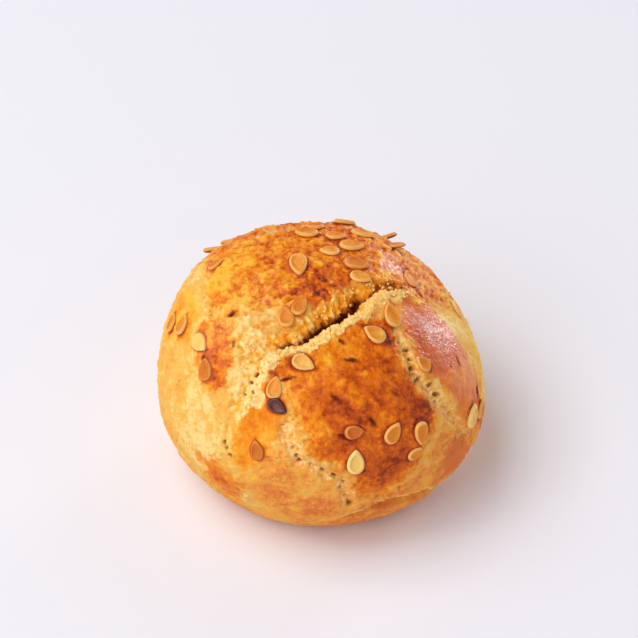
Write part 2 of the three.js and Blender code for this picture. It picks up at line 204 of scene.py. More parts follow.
# The patches of crust that the egg wash covers: how brown and how mottled each is, and its outline as
# (right, up).
GLAZED_PATCHES = (
    {
        "name": "top",
        "brown": 0.34,
        "mottled": 1.0,
        "outline": (
            (-18, 15.8), (-15.2, 18.9), (-10.9, 23), (-4.8, 26), (3.5, 26), (9.5, 24), (14.5, 20),
            (19, 16), (20.5, 12), (17.5, 11.8), (12.1, 13.2), (7.6, 13.6), (4.2, 12), (0.5, 10.6),
            (-3.3, 7.9), (-7.6, 4.1), (-12.4, 3), (-14.8, 3.6), (-16.4, 6.4), (-16.2, 9.2), (-17.6, 11.6),
        ),
    },
    {
        "name": "amber",
        "brown": 0.07,
        "mottled": 0.45,
        "outline": (
            (-24.1, 5.6), (-23.6, 10.2), (-21.5, 13.2), (-18.5, 12.7), (-17.3, 10.2), (-17.9, 6.7),
            (-20, 4.8), (-22.7, 4.5),
        ),
    },
    {
        "name": "streak",
        "brown": 0.38,
        "mottled": 0.8,
        "outline": (
            (-19.1, 4.8), (-17.6, 7.6), (-15.2, 9.4), (-12.8, 8.2), (-12.6, 4.8), (-13.2, 1.6),
            (-14, -1.6), (-16.4, -2.6), (-18, -0.6), (-18.7, 2),
        ),
    },
    {
        "name": "small",
        "brown": 0.26,
        "mottled": 0.35,
        "outline": (
            (-12, -2.4), (-9.1, -0.6), (-5.8, -1.8), (-4.5, -4.5), (-4.8, -8), (-7, -10.3), (-8.2, -13.6),
            (-10.9, -14.2), (-12.7, -13), (-13, -8.8),
        ),
    },
    {
        "name": "front",
        "brown": 0.48,
        "mottled": 0.6,
        "outline": (
            (-9.1, 1.5), (-4.5, 3.3), (1.2, 5.9), (6.1, 8.6), (10, 8.2), (11.3, 5.6), (12.4, 1.8),
            (14.2, -2), (16.2, -4.2), (16.4, -8), (14.8, -11.1), (13, -14.5), (9.5, -18.2), (6.1, -17.6),
            (3.5, -14.8), (-1.4, -11.6), (-3.2, -8.2), (-4.2, -5), (-5.5, -1.8), (-7.9, -0.3),
        ),
    },
    {
        "name": "right",
        "brown": 0.68,
        "mottled": 0.15,
        "outline": (
            (12.0, 9.8), (14.5, 11.4), (17.5, 11), (20.2, 8), (22, 4.5), (23.3, 1), (24.4, -3.5),
            (24.4, -8.5), (22.6, -8.2), (20.4, -5.6), (18.6, -3.4), (16.1, -0.8), (14.1, 2.4),
            (12.6, 5.6),
        ),
    },
    {
        "name": "low left",
        "brown": 0.42,
        "mottled": 0.4,
        "outline": (
            (-18.4, -11.8), (-16, -12.2), (-13.4, -14.2), (-11.6, -17.8), (-12.4, -19.6), (-15.2, -18),
            (-17.4, -15.6),
        ),
    },
)

# Where the glaze is browner or paler than its patch: (right, up, spread, amount).
BROWNED = (
    (12, -4.5, 4, 0.2), (9.5, -14, 3, 0.25), (15.5, -4.5, 2.5, 0.25), (9.8, 4.8, 1.8, 0.35),
    (4, -9.2, 1.8, 0.1), (5, -4, 3.5, 0.12), (-2, -2, 4, -0.05), (-7, 21.5, 2, 0.4),
    (0.8, 13.2, 3.4, 0.45), (2.7, 3.3, 2.5, -0.2), (-3.8, 12.3, 1.3, 0.25), (-11, 17, 4, -0.2),
    (-15, 13, 4, -0.35), (-9.5, 9.5, 4, -0.3), (-4, 6.5, 3.5, -0.3), (-14.5, 2, 2, 0.1), (-20, 7, 2, 0.2),
    (21, -1.5, 5, -0.3),
)

# Where the glaze is thin, so that the dough shows through it: (right, up, spread, amount).
THIN = ((-10, 8.8, 4, 5.5), (-6, 6.5, 2.6, 2.5), (-16.5, 14.5, 3.5, 2), (4.8, 13.3, 1.6, 1.6))

# Where the glaze is thick and shines most: (right, up, spread, amount).
SHINY = (
    (19, 4.5, 7, 0.75), (19.8, 7.6, 2.6, 0.5), (11.5, 16.5, 4, 0.8), (-9.5, 9, 6, 0.6),
    (-15.5, 5, 3.5, 0.45), (22.5, -1.5, 4, 0.4),
)

# Where the skin is drawn into coarser wrinkles: (right, up, spread, amount).
WRINKLED = ((-9.5, 8.5, 5, 1.3), (-13.8, 3, 3.5, 0.8), (-14.5, 12, 4, 0.6))

# Where the bare dough is toasted, and, at (11, 13.6), the torn wall at the wide tear's right end painted
# dark as shade under the glaze: (right, up, spread, amount).
TOASTED_AND_SHADED = (
    (20, -12.5, 7, 0.7), (11, -19, 6, 0.35), (2, -20, 7, 0.45), (-7, -17, 6, 0.4), (-20, -14, 5, 0.15),
    (-18, -9, 5, -0.25), (11, 13.6, 4, 1.4), (4.5, 10.5, 3, 0.3), (15, -1, 4, 0.1), (12.5, 5, 3, 0.2),
    (-10.5, -1, 3.2, -0.5), (-11.4, -18.2, 1.2, -0.4), (17.5, -7.5, 3.5, 0.2),
)

# Knobs and hollows of the torn dough: (right, up, spread, height).
KNOBS = (
    (-7.4, 1.9, 2.1, 1.1), (-5.2, 1.2, 1.3, 0.5), (-11.4, -18.2, 1.1, 0.5), (18.5, -5.2, 1.5, 0.4),
    (19.5, -8, 1.3, 0.35), (2.6, 11.6, 1.2, 0.4), (-8.6, -0.9, 1.2, -0.3),
)

# Torn dough beside the wide tear: (right, up, spread).
CRUMBLY = ((-7.9, 2.2, 1.9), (-10.2, 5, 2), (-9.5, -3.5, 1.5), (8.5, 11.2, 1.8), (11, 11.8, 1.5))

SUNKEN_STRIP = 0.35  # how far the porous strip along a seam lies below the glaze beside it

# Short splits in the glaze, carved in and painted dark as shade; the ones at (21.9, -6.4) and (-5, -0.7)
# are painted shadows beside a seed and under a knob: (right, up, turn in degrees, length, half width,
# depth).
NICKS_AND_SHADOWS = (
    (7.4, -7, -55, 3.2, 0.4, 0.5), (4.2, 2.0, 0, 2.6, 0.4, 0.3), (2.9, 4.7, -45, 1.5, 0.3, 0.15),
    (3.0, -8.9, -25, 2.0, 0.35, 0.25), (23.7, -2.9, 63, 2.8, 0.6, 0.8), (21.9, -6.4, 85, 2.8, 0.3, 0.3),
    (2, -3.5, -40, 2.2, 0.35, 0.12), (-12.9, 4.3, -65, 2.6, 0.35, 0.2), (-13.3, 8.7, 40, 1.6, 0.35, 0.15),
    (-17.4, 2.2, -58, 2.6, 0.4, 0.2), (-5, -0.7, 12, 3.4, 0.3, 0.25), (19.6, 1, 10, 1.4, 0.25, 0.1),
    (20.9, 1.8, -68, 2.8, 0.22, 0.2), (-3.4, -22.6, 80, 2.4, 0.25, 0.3),
)

# Pale ridges in the crust: (right, up, turn in degrees, length, half width, height).
VEINS = (
    (1, 1.6, -62, 7, 0.45, 0.15), (-3.6, -4.6, -72, 7, 0.45, 0.15), (0.2, -7.4, -50, 4, 0.35, 0.1),
    (-4, -20, -76, 6, 0.7, 0.25), (-9.8, -15.5, 80, 4, 0.5, 0.2),
)

# Pits in the porous dough, carved in and painted dark as shade: (right, up, radius).
PITS = (
    (13.0, 3.6, 0.36), (13.5, 2.1, 0.3), (13.7, 0.7, 0.34), (14.7, -0.8, 0.3), (16.2, -1.7, 0.38),
    (17.4, -3.2, 0.42), (17.3, -4.4, 0.3), (-4.4, -10.9, 0.3), (-3.9, -12.2, 0.36), (-3.4, -12.9, 0.48),
    (0, -14.5, 0.42), (1.9, -15.2, 0.5), (4, -19.4, 0.42), (-14.4, -10.1, 0.4), (-14, -10.9, 0.36),
    (-13.5, -12, 0.3), (-10.3, -0.2, 0.42), (-10.9, -1.4, 0.4), (-9.9, -2.6, 0.36), (-11.8, -3, 0.36),
)

# The far side is glazed down to a wavy level above the waist.
FAR_LEVEL = 4.2
FAR_SLOPE = 0.5  # how fast the glaze thickens above that level
FAR_BROWN = 0.43
FAR_MOTTLED = 0.7
FOOT_TOASTED = 0.35  # how much the dough is toasted near the base

MENISCUS = 0.14  # how far the crust creeps up a seed's edge
MENISCUS_WIDTH = 0.35
CLEAR_OF_SEED = (-0.5, 0.9)  # from a seed's edge: where the crust's relief starts, and where it is full

# Pores along the seams, carved in and painted dark as shade: how far apart, how far off the line, their
# radius and depth.
PORE_STEP = 0.8
PORE_OFF_LINE = 0.9
PORE_RADIUS = (0.12, 0.3)
PORE_DEPTH = 0.5

# ---------------------------------------------------------------- fineness of the dough's mesh

# The longest edges that the mesh may have in each part of the dough.
COARSE_EDGE = 0.32
FAR_SIDE_EDGE = 0.5
UNDERSIDE_EDGE = 1.3
SEED_EDGE = 0.29
SEAM_EDGE = 0.24
TEAR_EDGE = 0.18
BESIDE_TEAR_EDGE = 0.27
BESIDE = 1.6  # how far past a tear's walls still counts as beside it
ROUND_SEED = 0.75 * SEED_LENGTH  # how far from a seed's middle still counts as round it
UNDERSIDE_TOP = 0.4  # up to which height the dough counts as its underside
TURNED_AWAY = -0.15  # how much the crust faces the eye, below which it counts as the far side


# ---------------------------------------------------------------- small helpers


def linear(hex_colour):
    """An sRGB hex colour as linear red, green, blue and alpha."""
    parts = [int(hex_colour[i : i + 2], 16) / 255 for i in (1, 3, 5)]
    return [c / 12.92 if c <= 0.04045 else ((c + 0.055) / 1.055) ** 2.4 for c in parts] + [1.0]


def unit(vectors):
    """Vectors, each made one long."""
    return vectors / np.linalg.norm(vectors, axis=-1, keepdims=True)


def smooth(values, low, high):
    """0 below low, 1 above high, and a smooth step between."""
    share = np.clip((values - low) / (high - low), 0, 1)
    return share * share * (3 - 2 * share)


def random_from(seed):
    """A function that gives repeatable random numbers from 0 to 1, the same ones as the solid's."""
    state = seed

    def draw():
        nonlocal state
        state = (state * 1664525 + 1013904223) % 2**32
        return state / 2**32

    return draw


class Output:
    """A node's output in a tree, which can stand in a sum as a number does."""

    def __init__(self, tree, socket):
        self.tree = tree
        self.socket = socket

    def __add__(self, other):
        return add(self.tree, "ShaderNodeMath", {0: self, 1: other}, operation="ADD")

    def __sub__(self, other):
        return add(self.tree, "ShaderNodeMath", {0: self, 1: other}, operation="SUBTRACT")

    def __rsub__(self, other):
        return add(self.tree, "ShaderNodeMath", {0: other, 1: self}, operation="SUBTRACT")

    def __mul__(self, other):
        return add(self.tree, "ShaderNodeMath", {0: self, 1: other}, operation="MULTIPLY")

    def __rtruediv__(self, other):
        return add(self.tree, "ShaderNodeMath", {0: other, 1: self}, operation="DIVIDE")


def add(tree, kind, inputs=(), out=0, **settings):
    """Adds a node to a tree. Inputs go by name or number, each a value or another node's output."""
    node = tree.nodes.new(kind)
    for name, value in settings.items():
        setattr(node, name, value)
    for key, value in dict(inputs).items():
        if isinstance(value, Output):
            tree.links.new(value.socket, node.inputs[key])
        else:
            node.inputs[key].default_value = value
    return node if out is None else Output(tree, node.outputs[out])


# ---------------------------------------------------------------- the dough's surface


def half_axes(points):
    """The half axes of the plain ball, above or below the waist, for each point or direction."""
    crown = (WIDTH / 2, DEPTH / 2, CROWN)
    belly = (WIDTH / 2, DEPTH / 2, BELLY)
    return np.where(points[..., 2:3] >= 0, crown, belly)


def sight_lines(behind=False):
    """Right, up and towards the eye, for a person who looks at the front or from behind."""
    side = -1 if behind else 1
    down, level = math.sin(LOOK_DOWN), math.cos(LOOK_DOWN)
    return np.array(((side, 0, 0), (0, side * down, level), (0, -side * level, down)))


def seen_at(right, up, behind=False):
    """The point of the plain ball, from its heart, that is seen at (right, up)."""
    sight = sight_lines(behind)
    start = right * sight[0] + up * sight[1]
    for half in half_axes(np.array(((0, 0, 1.0), (0, 0, -1.0)))):
        s, n = start / half, sight[2] / half
        root = math.sqrt(max((s @ n) ** 2 - (n @ n) * (s @ s - 1), 0))
        point = start + sight[2] * (root - s @ n) / (n @ n)
        if point[2] >= 0:
            break
    return point


def plain_points(directions):
    """The points of the plain ball in directions from its heart."""
    return directions / np.linalg.norm(directions / half_axes(directions), axis=-1, keepdims=True)


def plain_normals(points):
    """The outward normals of the plain ball at its points."""
    return unit(points / half_axes(points) ** 2)


def waves(p, wavelength, shift):
    """Smooth bumps between -1 and 1: three crossing waves of one wavelength."""
    k = math.tau / wavelength
    x, y, z = p[..., 0], p[..., 1], p[..., 2]
    return (
        np.sin(k * (x + 0.6 * y) + shift)
        + np.sin(k * (0.8 * y - 0.6 * z) + 2.1 * shift)
        + np.sin(k * (0.9 * z - 0.7 * x) + 3.7 * shift)
    ) / 3


def bump(p, right, up, spread):
    """1 at the mark (right, up), falling off smoothly with the distance from it."""
    return np.exp(-((p - seen_at(right, up)) ** 2).sum(-1) / spread**2)


def marked(p, table):
    """What the marks of a table, each (right, up, spread, amount), add up to at each point."""
    return sum(amount * bump(p, right, up, spread) for right, up, spread, amount in table)


def unevenness(p):
    """How far the dough's unevenness raises points of the plain ball."""
    height = marked(p, LUMPS)
    for i, (wavelength, rise) in enumerate(RIPPLES):
        height += rise * waves(p, wavelength, i + 1)
    return height


def ragged(p):
    """Points shifted to and fro, so that a tear measured at them has a ragged line."""
    shifts = [waves(p, length, i + 3) for i, length in enumerate(RAGGED_WAVELENGTHS)]
    return p + RAGGED_BY * np.stack(shifts, axis=-1)


def across(tear, p):
    """Each point's distance from a tear's line, positive uphill, the depth there, and how far along."""
    line = [seen_at(right, up, tear["behind"]) for right, up, _ in tear["points"]]
    depths = [depth for _, _, depth in tear["points"]]
    distance = np.full(len(p), np.inf)
    depth_there, along, travelled = np.zeros(len(p)), np.zeros(len(p)), 0.0
    for a, b, depth_a, depth_b in zip(line, line[1:], depths, depths[1:]):
        step = b - a
        share = np.clip((p - a) @ step / (step @ step), 0, 1)
        foot = a + share[:, None] * step
        gap = p - foot
        reach = np.linalg.norm(gap, axis=1)
        uphill = (np.cross(step, foot) * gap).sum(1) >= 0
        closer = reach < np.abs(distance)
        distance = np.where(closer, np.where(uphill, reach, -reach), distance)
        depth_there = np.where(closer, depth_a + (depth_b - depth_a) * share, depth_there)
        along = np.where(closer, travelled + share * np.linalg.norm(step), along)
        travelled += np.linalg.norm(step)
    return distance, depth_there, along


def wall_run(tear, distance, depth):
    """How far the wall of a tear runs on the side of its line that a distance lies on."""
    return depth * np.where(distance > 0, tear["uphill"], tear["downhill"]) + NARROWEST_WALL


def tear_shape(tear, distance, depth):
    """How much a tear raises the surface, and how deep in it a point lies, from 0 to 1."""
    sunk = np.maximum(0, 1 - np.abs(distance) / wall_run(tear, distance, depth))
    groove = sunk * sunk * (3 - 2 * sunk)
    bulge = np.where(distance > 0, UPHILL_BULGE, DOWNHILL_BULGE)
    wall = sunk * (1 + bulge * (1 - sunk))
    crisp = smooth(depth, SHALLOW, DEEP) * np.where(distance > 0, UPHILL_STRAIGHTNESS, 1)
    from_lip = distance + wall_run(tear, -1, depth) + LIP_WIDTH / 2
    lip = np.exp(-((from_lip / LIP_WIDTH) ** 2)) * np.minimum(depth, 1)
    crack = CRACK_DEPTH * np.exp(-((distance / CRACK_WIDTH) ** 2)) * smooth(depth, DEEP, 2)
    return tear["lip"] * lip - depth * (groove + (wall - groove) * crisp) - crack, sunk


def crust_points(directions, extra=0.0):
    """Points of the crust in directions from the heart, in the part's frame; extra raises them."""
    plain = plain_points(directions)
    measured = ragged(plain)
    reach = np.linalg.norm(plain, axis=1) + unevenness(plain) + extra
    for tear in TEARS:
        distance, depth, _ = across(tear, measured)
        reach += tear_shape(tear, distance, depth)[0]
    to_base = WAIST / np.maximum(-directions[:, 2], 1e-6)
    overlap = np.maximum(BASE_ROUNDING - np.abs(reach - to_base), 0) / BASE_ROUNDING
    reach = np.minimum(reach, to_base) - overlap**2 * BASE_ROUNDING / 4
    points = directions * reach[:, None]
    points[:, 2] += WAIST
    points[np.abs(points[:, 2]) < 1e-3, 2] = 0
    return points


# ---------------------------------------------------------------- where the seeds lie


def seed_place(direction, heading, size, tilt=0.0):
    """A seed's place on the crust, as a 4 by 4 matrix in the part's frame."""
    out = plain_normals(plain_points(direction[None]))[0]
    along = unit(heading - out * (heading @ out))
    aside = np.cross(along, out)
    lift = SEED_LIFT + TILT_LIFT * abs(math.sin(tilt)) * size * SEED_LENGTH
    place = Matrix.Identity(4)
    for column, vector in enumerate((aside, along, out)):
        for row in range(3):
            place[row][column] = vector[row]
    place = place @ Matrix.Rotation(tilt, 4, "X")
    place.translation = crust_points(direction[None])[0] + out * lift
    return place


def front_seeds():
    """(place, size, tone) of each seed of the front."""
    sight = sight_lines()
    found = []
    for right, up, turn, size, tilt, tone in FRONT_SEEDS:
        turn = math.radians(turn)
        heading = sight[0] * math.cos(turn) + sight[1] * math.sin(turn)
        place = seed_place(unit(seen_at(right, up)), heading, size, math.radians(tilt))
        found.append((place, size, tone))
    return found


def strewn_seeds():
    """(place, size, tone) of each seed of the far side, on a sunflower's spiral round the top."""
    draw, draw_tone = random_from(7), random_from(23)
    near = sight_lines()[2]
    found = []
    for i in range(STREWN_SEEDS):
        down = math.acos(1 - (i + 0.5) / STREWN_SEEDS * (1 - math.cos(STREWN_DOWN_TO)))
        bearing = i * math.pi * (3 - math.sqrt(5)) + STREWN_JITTER * draw()
        ring = math.sin(down)
        direction = np.array((ring * math.sin(bearing), ring * math.cos(bearing), math.cos(down)))
        turn = math.tau * draw()
        heading = np.array((math.cos(turn), math.sin(turn), 0.1))
        size = 1 + SIZE_SPREAD * (2 * draw() - 1)
        tone = 0.15 + 0.6 * draw_tone()
        if plain_normals(plain_points(direction[None]))[0] @ near < FACES_FRONT:
            found.append((seed_place(direction, heading, size), size, tone))
    return found


def all_seeds():
    """(place, size, tone) of every seed."""
    return front_seeds() + strewn_seeds()


# ---------------------------------------------------------------- the dough's mesh


def longest_edges(directions, seed_centres):
    """The longest edge that the dough's mesh may have in each direction."""
    plain = plain_points(directions)
    measured = ragged(plain)
    behind = plain_normals(plain) @ sight_lines()[2] < TURNED_AWAY
    wanted = np.where(behind, FAR_SIDE_EDGE, COARSE_EDGE)
    wanted[plain[:, 2] + WAIST < UNDERSIDE_TOP] = UNDERSIDE_EDGE
    for centre in seed_centres:
        wanted = np.where(((plain - centre) ** 2).sum(1) < ROUND_SEED**2, SEED_EDGE, wanted)
    for tear in TEARS:
        distance, depth, _ = across(tear, measured)
        clear = np.abs(distance) - wall_run(tear, distance, depth)
        deep = tear["lip"] > 0.5
        beside = clear < (BESIDE if deep else BESIDE / 2)
        wanted = np.where(beside, np.minimum(wanted, BESIDE_TEAR_EDGE if deep else SEAM_EDGE), wanted)
        if deep:
            lip = (clear < LIP_WIDTH) & (distance < 0)
            wanted = np.where((clear < 0) | lip, TEAR_EDGE, wanted)
    return wanted


def split_once(directions, triangles, seed_centres):
    """Cuts every triangle at the middle of each edge that is too long."""
    ends = np.stack((triangles, np.roll(triangles, -1, axis=1)), axis=2).reshape(-1, 2)
    keys, which = np.unique(ends.min(1) * len(directions) + ends.max(1), return_inverse=True)
    edges = np.stack((keys // len(directions), keys % len(directions)), axis=1)
    middles = unit(directions[edges].sum(1))
    lengths = np.linalg.norm(directions[edges[:, 0]] - directions[edges[:, 1]], axis=1)
    lengths *= np.linalg.norm(plain_points(middles), axis=1)
    cut = np.zeros(len(edges), bool)
    maybe = lengths > TEAR_EDGE
    cut[maybe] = lengths[maybe] > longest_edges(middles[maybe], seed_centres) * math.sqrt(2)
    fresh = np.full(len(edges), -1)
    fresh[cut] = len(directions) + np.arange(cut.sum())
    middle = fresh[which.reshape(-1, 3)]
    count = (middle >= 0).sum(1)
    pieces = [triangles[count == 0]]
    whole, inner = triangles[count == 3], middle[count == 3]
    pieces.append(inner)
    for turn in range(3):
        corner = np.roll(whole, -turn, axis=1)
        inside = np.roll(inner, -turn, axis=1)
        pieces.append(np.stack((corner[:, 0], inside[:, 0], inside[:, 2]), axis=1))
        corner, inside = np.roll(triangles, -turn, axis=1), np.roll(middle, -turn, axis=1)
        one = (count == 1) & (inside[:, 0] >= 0)
        a, b, c = corner[one].T
        m = inside[one, 0]
        pieces += [np.stack((a, m, c), axis=1), np.stack((m, b, c), axis=1)]
        two = (count == 2) & (inside[:, 2] < 0)
        a, b, c = corner[two].T
        m, n = inside[two, 0], inside[two, 1]
        pieces += [np.stack(t, axis=1) for t in ((m, b, n), (a, m, n), (a, n, c))]
    return np.vstack((directions, middles[cut])), np.vstack(pieces)


def dough_net(seed_centres):
    """Directions and triangles of a net round the heart, fine where the dough is."""
    ball = bmesh.new()
    bmesh.ops.create_icosphere(ball, subdivisions=5, radius=1.0)
    directions = unit(np.array([v.co for v in ball.verts]))
    triangles = np.array([[v.index for v in f.verts] for f in ball.faces])
    ball.free()
    count = 0
    while count != len(triangles):
        count = len(triangles)
        directions, triangles = split_once(directions, triangles, seed_centres)
    return directions, triangles


def inside_by(outline, right, up):
    """How far points lie inside an outline, seen from the front; negative outside."""
    spots = np.stack((right, up), axis=1)
    corners = np.array(outline, float)
    distance = np.full(len(spots), np.inf)
    inside = np.zeros(len(spots), bool)
    for a, b in zip(corners, np.roll(corners, -1, axis=0)):
        step = b - a
        share = np.clip((spots - a) @ step / (step @ step), 0, 1)
        distance = np.minimum(distance, np.linalg.norm(spots - a - share[:, None] * step, axis=1))
        spans = (a[1] > up) != (b[1] > up)
        rise = b[1] - a[1] if b[1] != a[1] else 1e-9
        inside ^= spans & (right < a[0] + (up - a[1]) * step[0] / rise)
    return np.where(inside, distance, -distance)


def pores():
    """(centre, radius) of each pit, and of each pore along the seams."""
    draw = random_from(31)
    found = [(seen_at(right, up), radius) for right, up, radius in PITS]
    for tear in TEARS:
        if "seam" not in tear["name"]:
            continue
        line = np.array([seen_at(right, up) for right, up, _ in tear["points"]])
        for a, b in zip(line, line[1:]):
            for i in range(max(1, round(np.linalg.norm(b - a) / PORE_STEP))):
                spot = a + (b - a) * (i + draw()) * PORE_STEP / np.linalg.norm(b - a)
                spot = spot + PORE_OFF_LINE * (np.array((draw(), draw(), draw())) * 2 - 1)
                radius = PORE_RADIUS[0] + (PORE_RADIUS[1] - PORE_RADIUS[0]) * draw() ** 2
                found.append((plain_points(unit(spot)[None])[0], radius))
    return found


def stroked(p, strokes):
    """How high or deep each point lies in the strokes of a table, and how much each stroke colours it."""
    sight = sight_lines()
    height, tint = np.zeros(len(p)), np.zeros(len(p))
    for right, up, turn, length, half_width, most in strokes:
        turn = math.radians(turn)
        heading = sight[0] * math.cos(turn) + sight[1] * math.sin(turn)
        gap = p - seen_at(right, up)
        lengthwise = gap @ heading
        sideways = np.linalg.norm(gap - lengthwise[:, None] * heading, axis=1)
        share = np.sqrt((lengthwise / (length / 2)) ** 2 + (sideways / half_width) ** 2)
        height = np.maximum(height, most * np.clip(1 - share, 0, 1))
        tint = np.maximum(tint, np.clip(2.4 - 2 * share, 0, 1))
    return height, tint


def taper(along):
    """How wide a seed is along its length, from -1, its round end, to 1, its tip."""
    return (1 - SEED_NARROWING * along) * (1 - SEED_POINTEDNESS * np.clip(along, 0, 1) ** 2.5)


def seed_gaps(points, seeds):
    """How far each point of the crust lies outside the nearest seed's edge."""
    gap = np.full(len(points), 9.0)
    for place, scale, _ in seeds:
        local = (points - np.array(place.translation)) @ np.array(place.to_3x3())
        near = np.abs(local).max(1) < SEED_LENGTH
        x, y, z = local[near].T
        y = y / (scale * SEED_LENGTH / 2)
        x = x / (scale * SEED_WIDTH / 2 * taper(np.clip(y, -1, 1)))
        shares = np.sqrt(x * x + y * y)
        outside = (shares - 1) * SEED_WIDTH / 2 + np.maximum(np.abs(z) - 1.2, 0)
        gap[near] = np.minimum(gap[near], outside)
    return gap


def glaze_fields(plain):
    """Where the crust is glazed, browned, mottled, wrinkled, toasted and shiny, by name; the toast also
    holds painted shade on the wide tear's right end.
    """
    sight = sight_lines()
    right, up = plain @ sight[0], plain @ sight[1]
    wobble = 0.5 * waves(plain, 5.3, 5) + 0.35 * waves(plain, 2.3, 6)
    glaze, brown, mottled = (np.full(len(plain), start) for start in (-9.0, 0.45, 0.6))
    for patch in GLAZED_PATCHES:
        inside = inside_by(patch["outline"], right, up) + wobble
        brown = np.where(inside > glaze, patch["brown"], brown)
        mottled = np.where(inside > glaze, patch["mottled"], mottled)
        glaze = np.maximum(glaze, inside)

    level = FAR_LEVEL + 4 * waves(plain, 24, 4) + 4 * waves(plain, 12, 6)
    behind = (plain[:, 2] - level) * FAR_SLOPE
    share = smooth(plain_normals(plain) @ sight[2], -0.12, 0.08)
    brown = brown * share + FAR_BROWN * (1 - share)
    mottled = mottled * share + FAR_MOTTLED * (1 - share)
    covered = smooth(glaze * share + behind * (1 - share), -2.5, 0.5)
    glaze = (glaze - marked(plain, THIN)) * share + behind * (1 - share)
    return {
        "glaze": np.clip(glaze, -4, 4),
        "brown": brown + marked(plain, BROWNED),
        "mottled": mottled,
        "wrinkly": 0.6 + (mottled - 0.25) * covered + marked(plain, WRINKLED),
        "toast": marked(plain, TOASTED_AND_SHADED) + FOOT_TOASTED * smooth(-plain[:, 2], 5, 14),
        "shine": marked(plain, SHINY),
    }


def dough_fields(directions):
    """The values that the dough's relief and colours follow, by name, for each direction."""
    plain = plain_points(directions)
    measured = ragged(plain)
    fields = glaze_fields(plain)
    for name in ("torn", "sunk", "lip", "stranded", "seam", "strip", "crease", "creased", "brow", "pore"):
        fields[name] = np.zeros(len(plain))

    def raise_to(name, values):
        """Keeps the larger of a field's values and new ones."""
        fields[name] = np.maximum(fields[name], values)

    fray = 0.45 * waves(plain, 2.6, 7) + 0.3 * waves(plain, 1.1, 9)
    for tear in TEARS:
        distance, depth, along = across(tear, measured)
        _, sunk = tear_shape(tear, distance, depth)
        if "seam" in tear["name"] or "back" in tear["name"]:
            # its porous line, and the strip along it that lies lower than the glaze
            line = 1 - smooth(np.abs(distance) + fray, 0.4, 1.6)
            raise_to("seam", line * smooth(depth, 0.1, 0.5))
            step = 1 - smooth(np.abs(distance) + 0.6 * fray, 0.75, 1.15)
            raise_to("strip", step * smooth(depth, 0.15, 0.45))
        elif "crease" in tear["name"]:
            # its groove and the crack that is open along most of it, both painted darker as shade, and the
            # pale brow above it
            raise_to("crease", sunk * smooth(depth, 0.3, 1.0))
            crack = 1 - smooth(np.abs(distance - 0.2) + 0.3 * fray, 0.15, 0.5)
            crack = crack * smooth(waves(plain, 3.1, 15), -0.7, 0.1)
            raise_to("creased", crack * smooth(depth, 0.4, 1.2))
            raise_to("brow", np.exp(-(((distance - 0.9) / 0.35) ** 2)) * smooth(depth, 0.2, 0.9))
        else:
            # its torn walls, how deep a point lies in them, the lip, the strands, and where they run
            clear = np.abs(distance) - wall_run(tear, distance, depth)
            rim = np.where(distance > 0, -0.3 * depth, 1.1)
            raise_to("torn", (1 - smooth(clear + fray, rim - 0.5, rim + 0.5)) * smooth(depth, 0.3, 1.1))
            raise_to("sunk", sunk * np.minimum(depth / 2.8, 1))
            from_lip = distance + wall_run(tear, -1, depth) + 0.55 + 0.6 * fray
            raise_to("lip", np.exp(-((from_lip / 0.85) ** 2)) * smooth(depth, 0.4, 1.4))
            raise_to("stranded", smooth(distance, 0, 0.5) * smooth(depth, 1.3, 2.6))
            near = np.abs(distance) < 8
            fields["along_tear"] = np.where(near, along, 0)
            fields["across_tear"] = np.where(near, distance, 0)

    for right, up, spread in CRUMBLY:
        spot = smooth(bump(plain, right, up, spread) + 0.25 * fray, 0.25, 0.6)
        raise_to("torn", spot)
        raise_to("lip", 0.8 * spot)

    uneven = plain + 0.14 * np.stack([waves(plain, 0.9 + 0.2 * i, 11 + i) for i in range(3)], axis=-1)
    for centre, radius in pores():
        share = np.clip(1.2 - ((uneven - centre) ** 2).sum(1) / radius**2, 0, 1)
        raise_to("pore", share * min(1, radius / 0.3))

    nicked, nick = stroked(plain, NICKS_AND_SHADOWS)
    veined, fields["vein"] = stroked(measured, VEINS)
    creased = fields.pop("creased")
    fields["nick"] = np.maximum(nick, 0.8 * creased)
    raised = marked(plain, KNOBS) + veined - SUNKEN_STRIP * fields.pop("strip")
    fields["raised"] = raised - PORE_DEPTH * fields["pore"] - nicked - 0.3 * creased
    return fields


# ---------------------------------------------------------------- pieces and geometry nodes

# The values stored on the dough that its relief follows.
RELIEF_VALUES = (
    "torn", "lip", "seam", "mottled", "wrinkly", "shine", "stranded", "seed_gap", "along_tear",
    "across_tear",
)


def mesh_piece(name, points, faces):
    """A new mesh object from points in millimetres."""
    mesh = bpy.data.meshes.new(name)
    mesh.from_pydata((np.asarray(points) * MM).tolist(), [], [list(face) for face in faces])
    piece = bpy.data.objects.new(name, mesh)
    bpy.context.scene.collection.objects.link(piece)
    return piece


def give_values(piece, fields):
    """Stores values on a piece's points, by name."""
    for name, values in fields.items():
        wide = np.ndim(values) == 2
        layer = piece.data.attributes.new(name, "FLOAT_VECTOR" if wide else "FLOAT", "POINT")
        layer.data.foreach_set("vector" if wide else "value", np.asarray(values, np.float32).ravel())


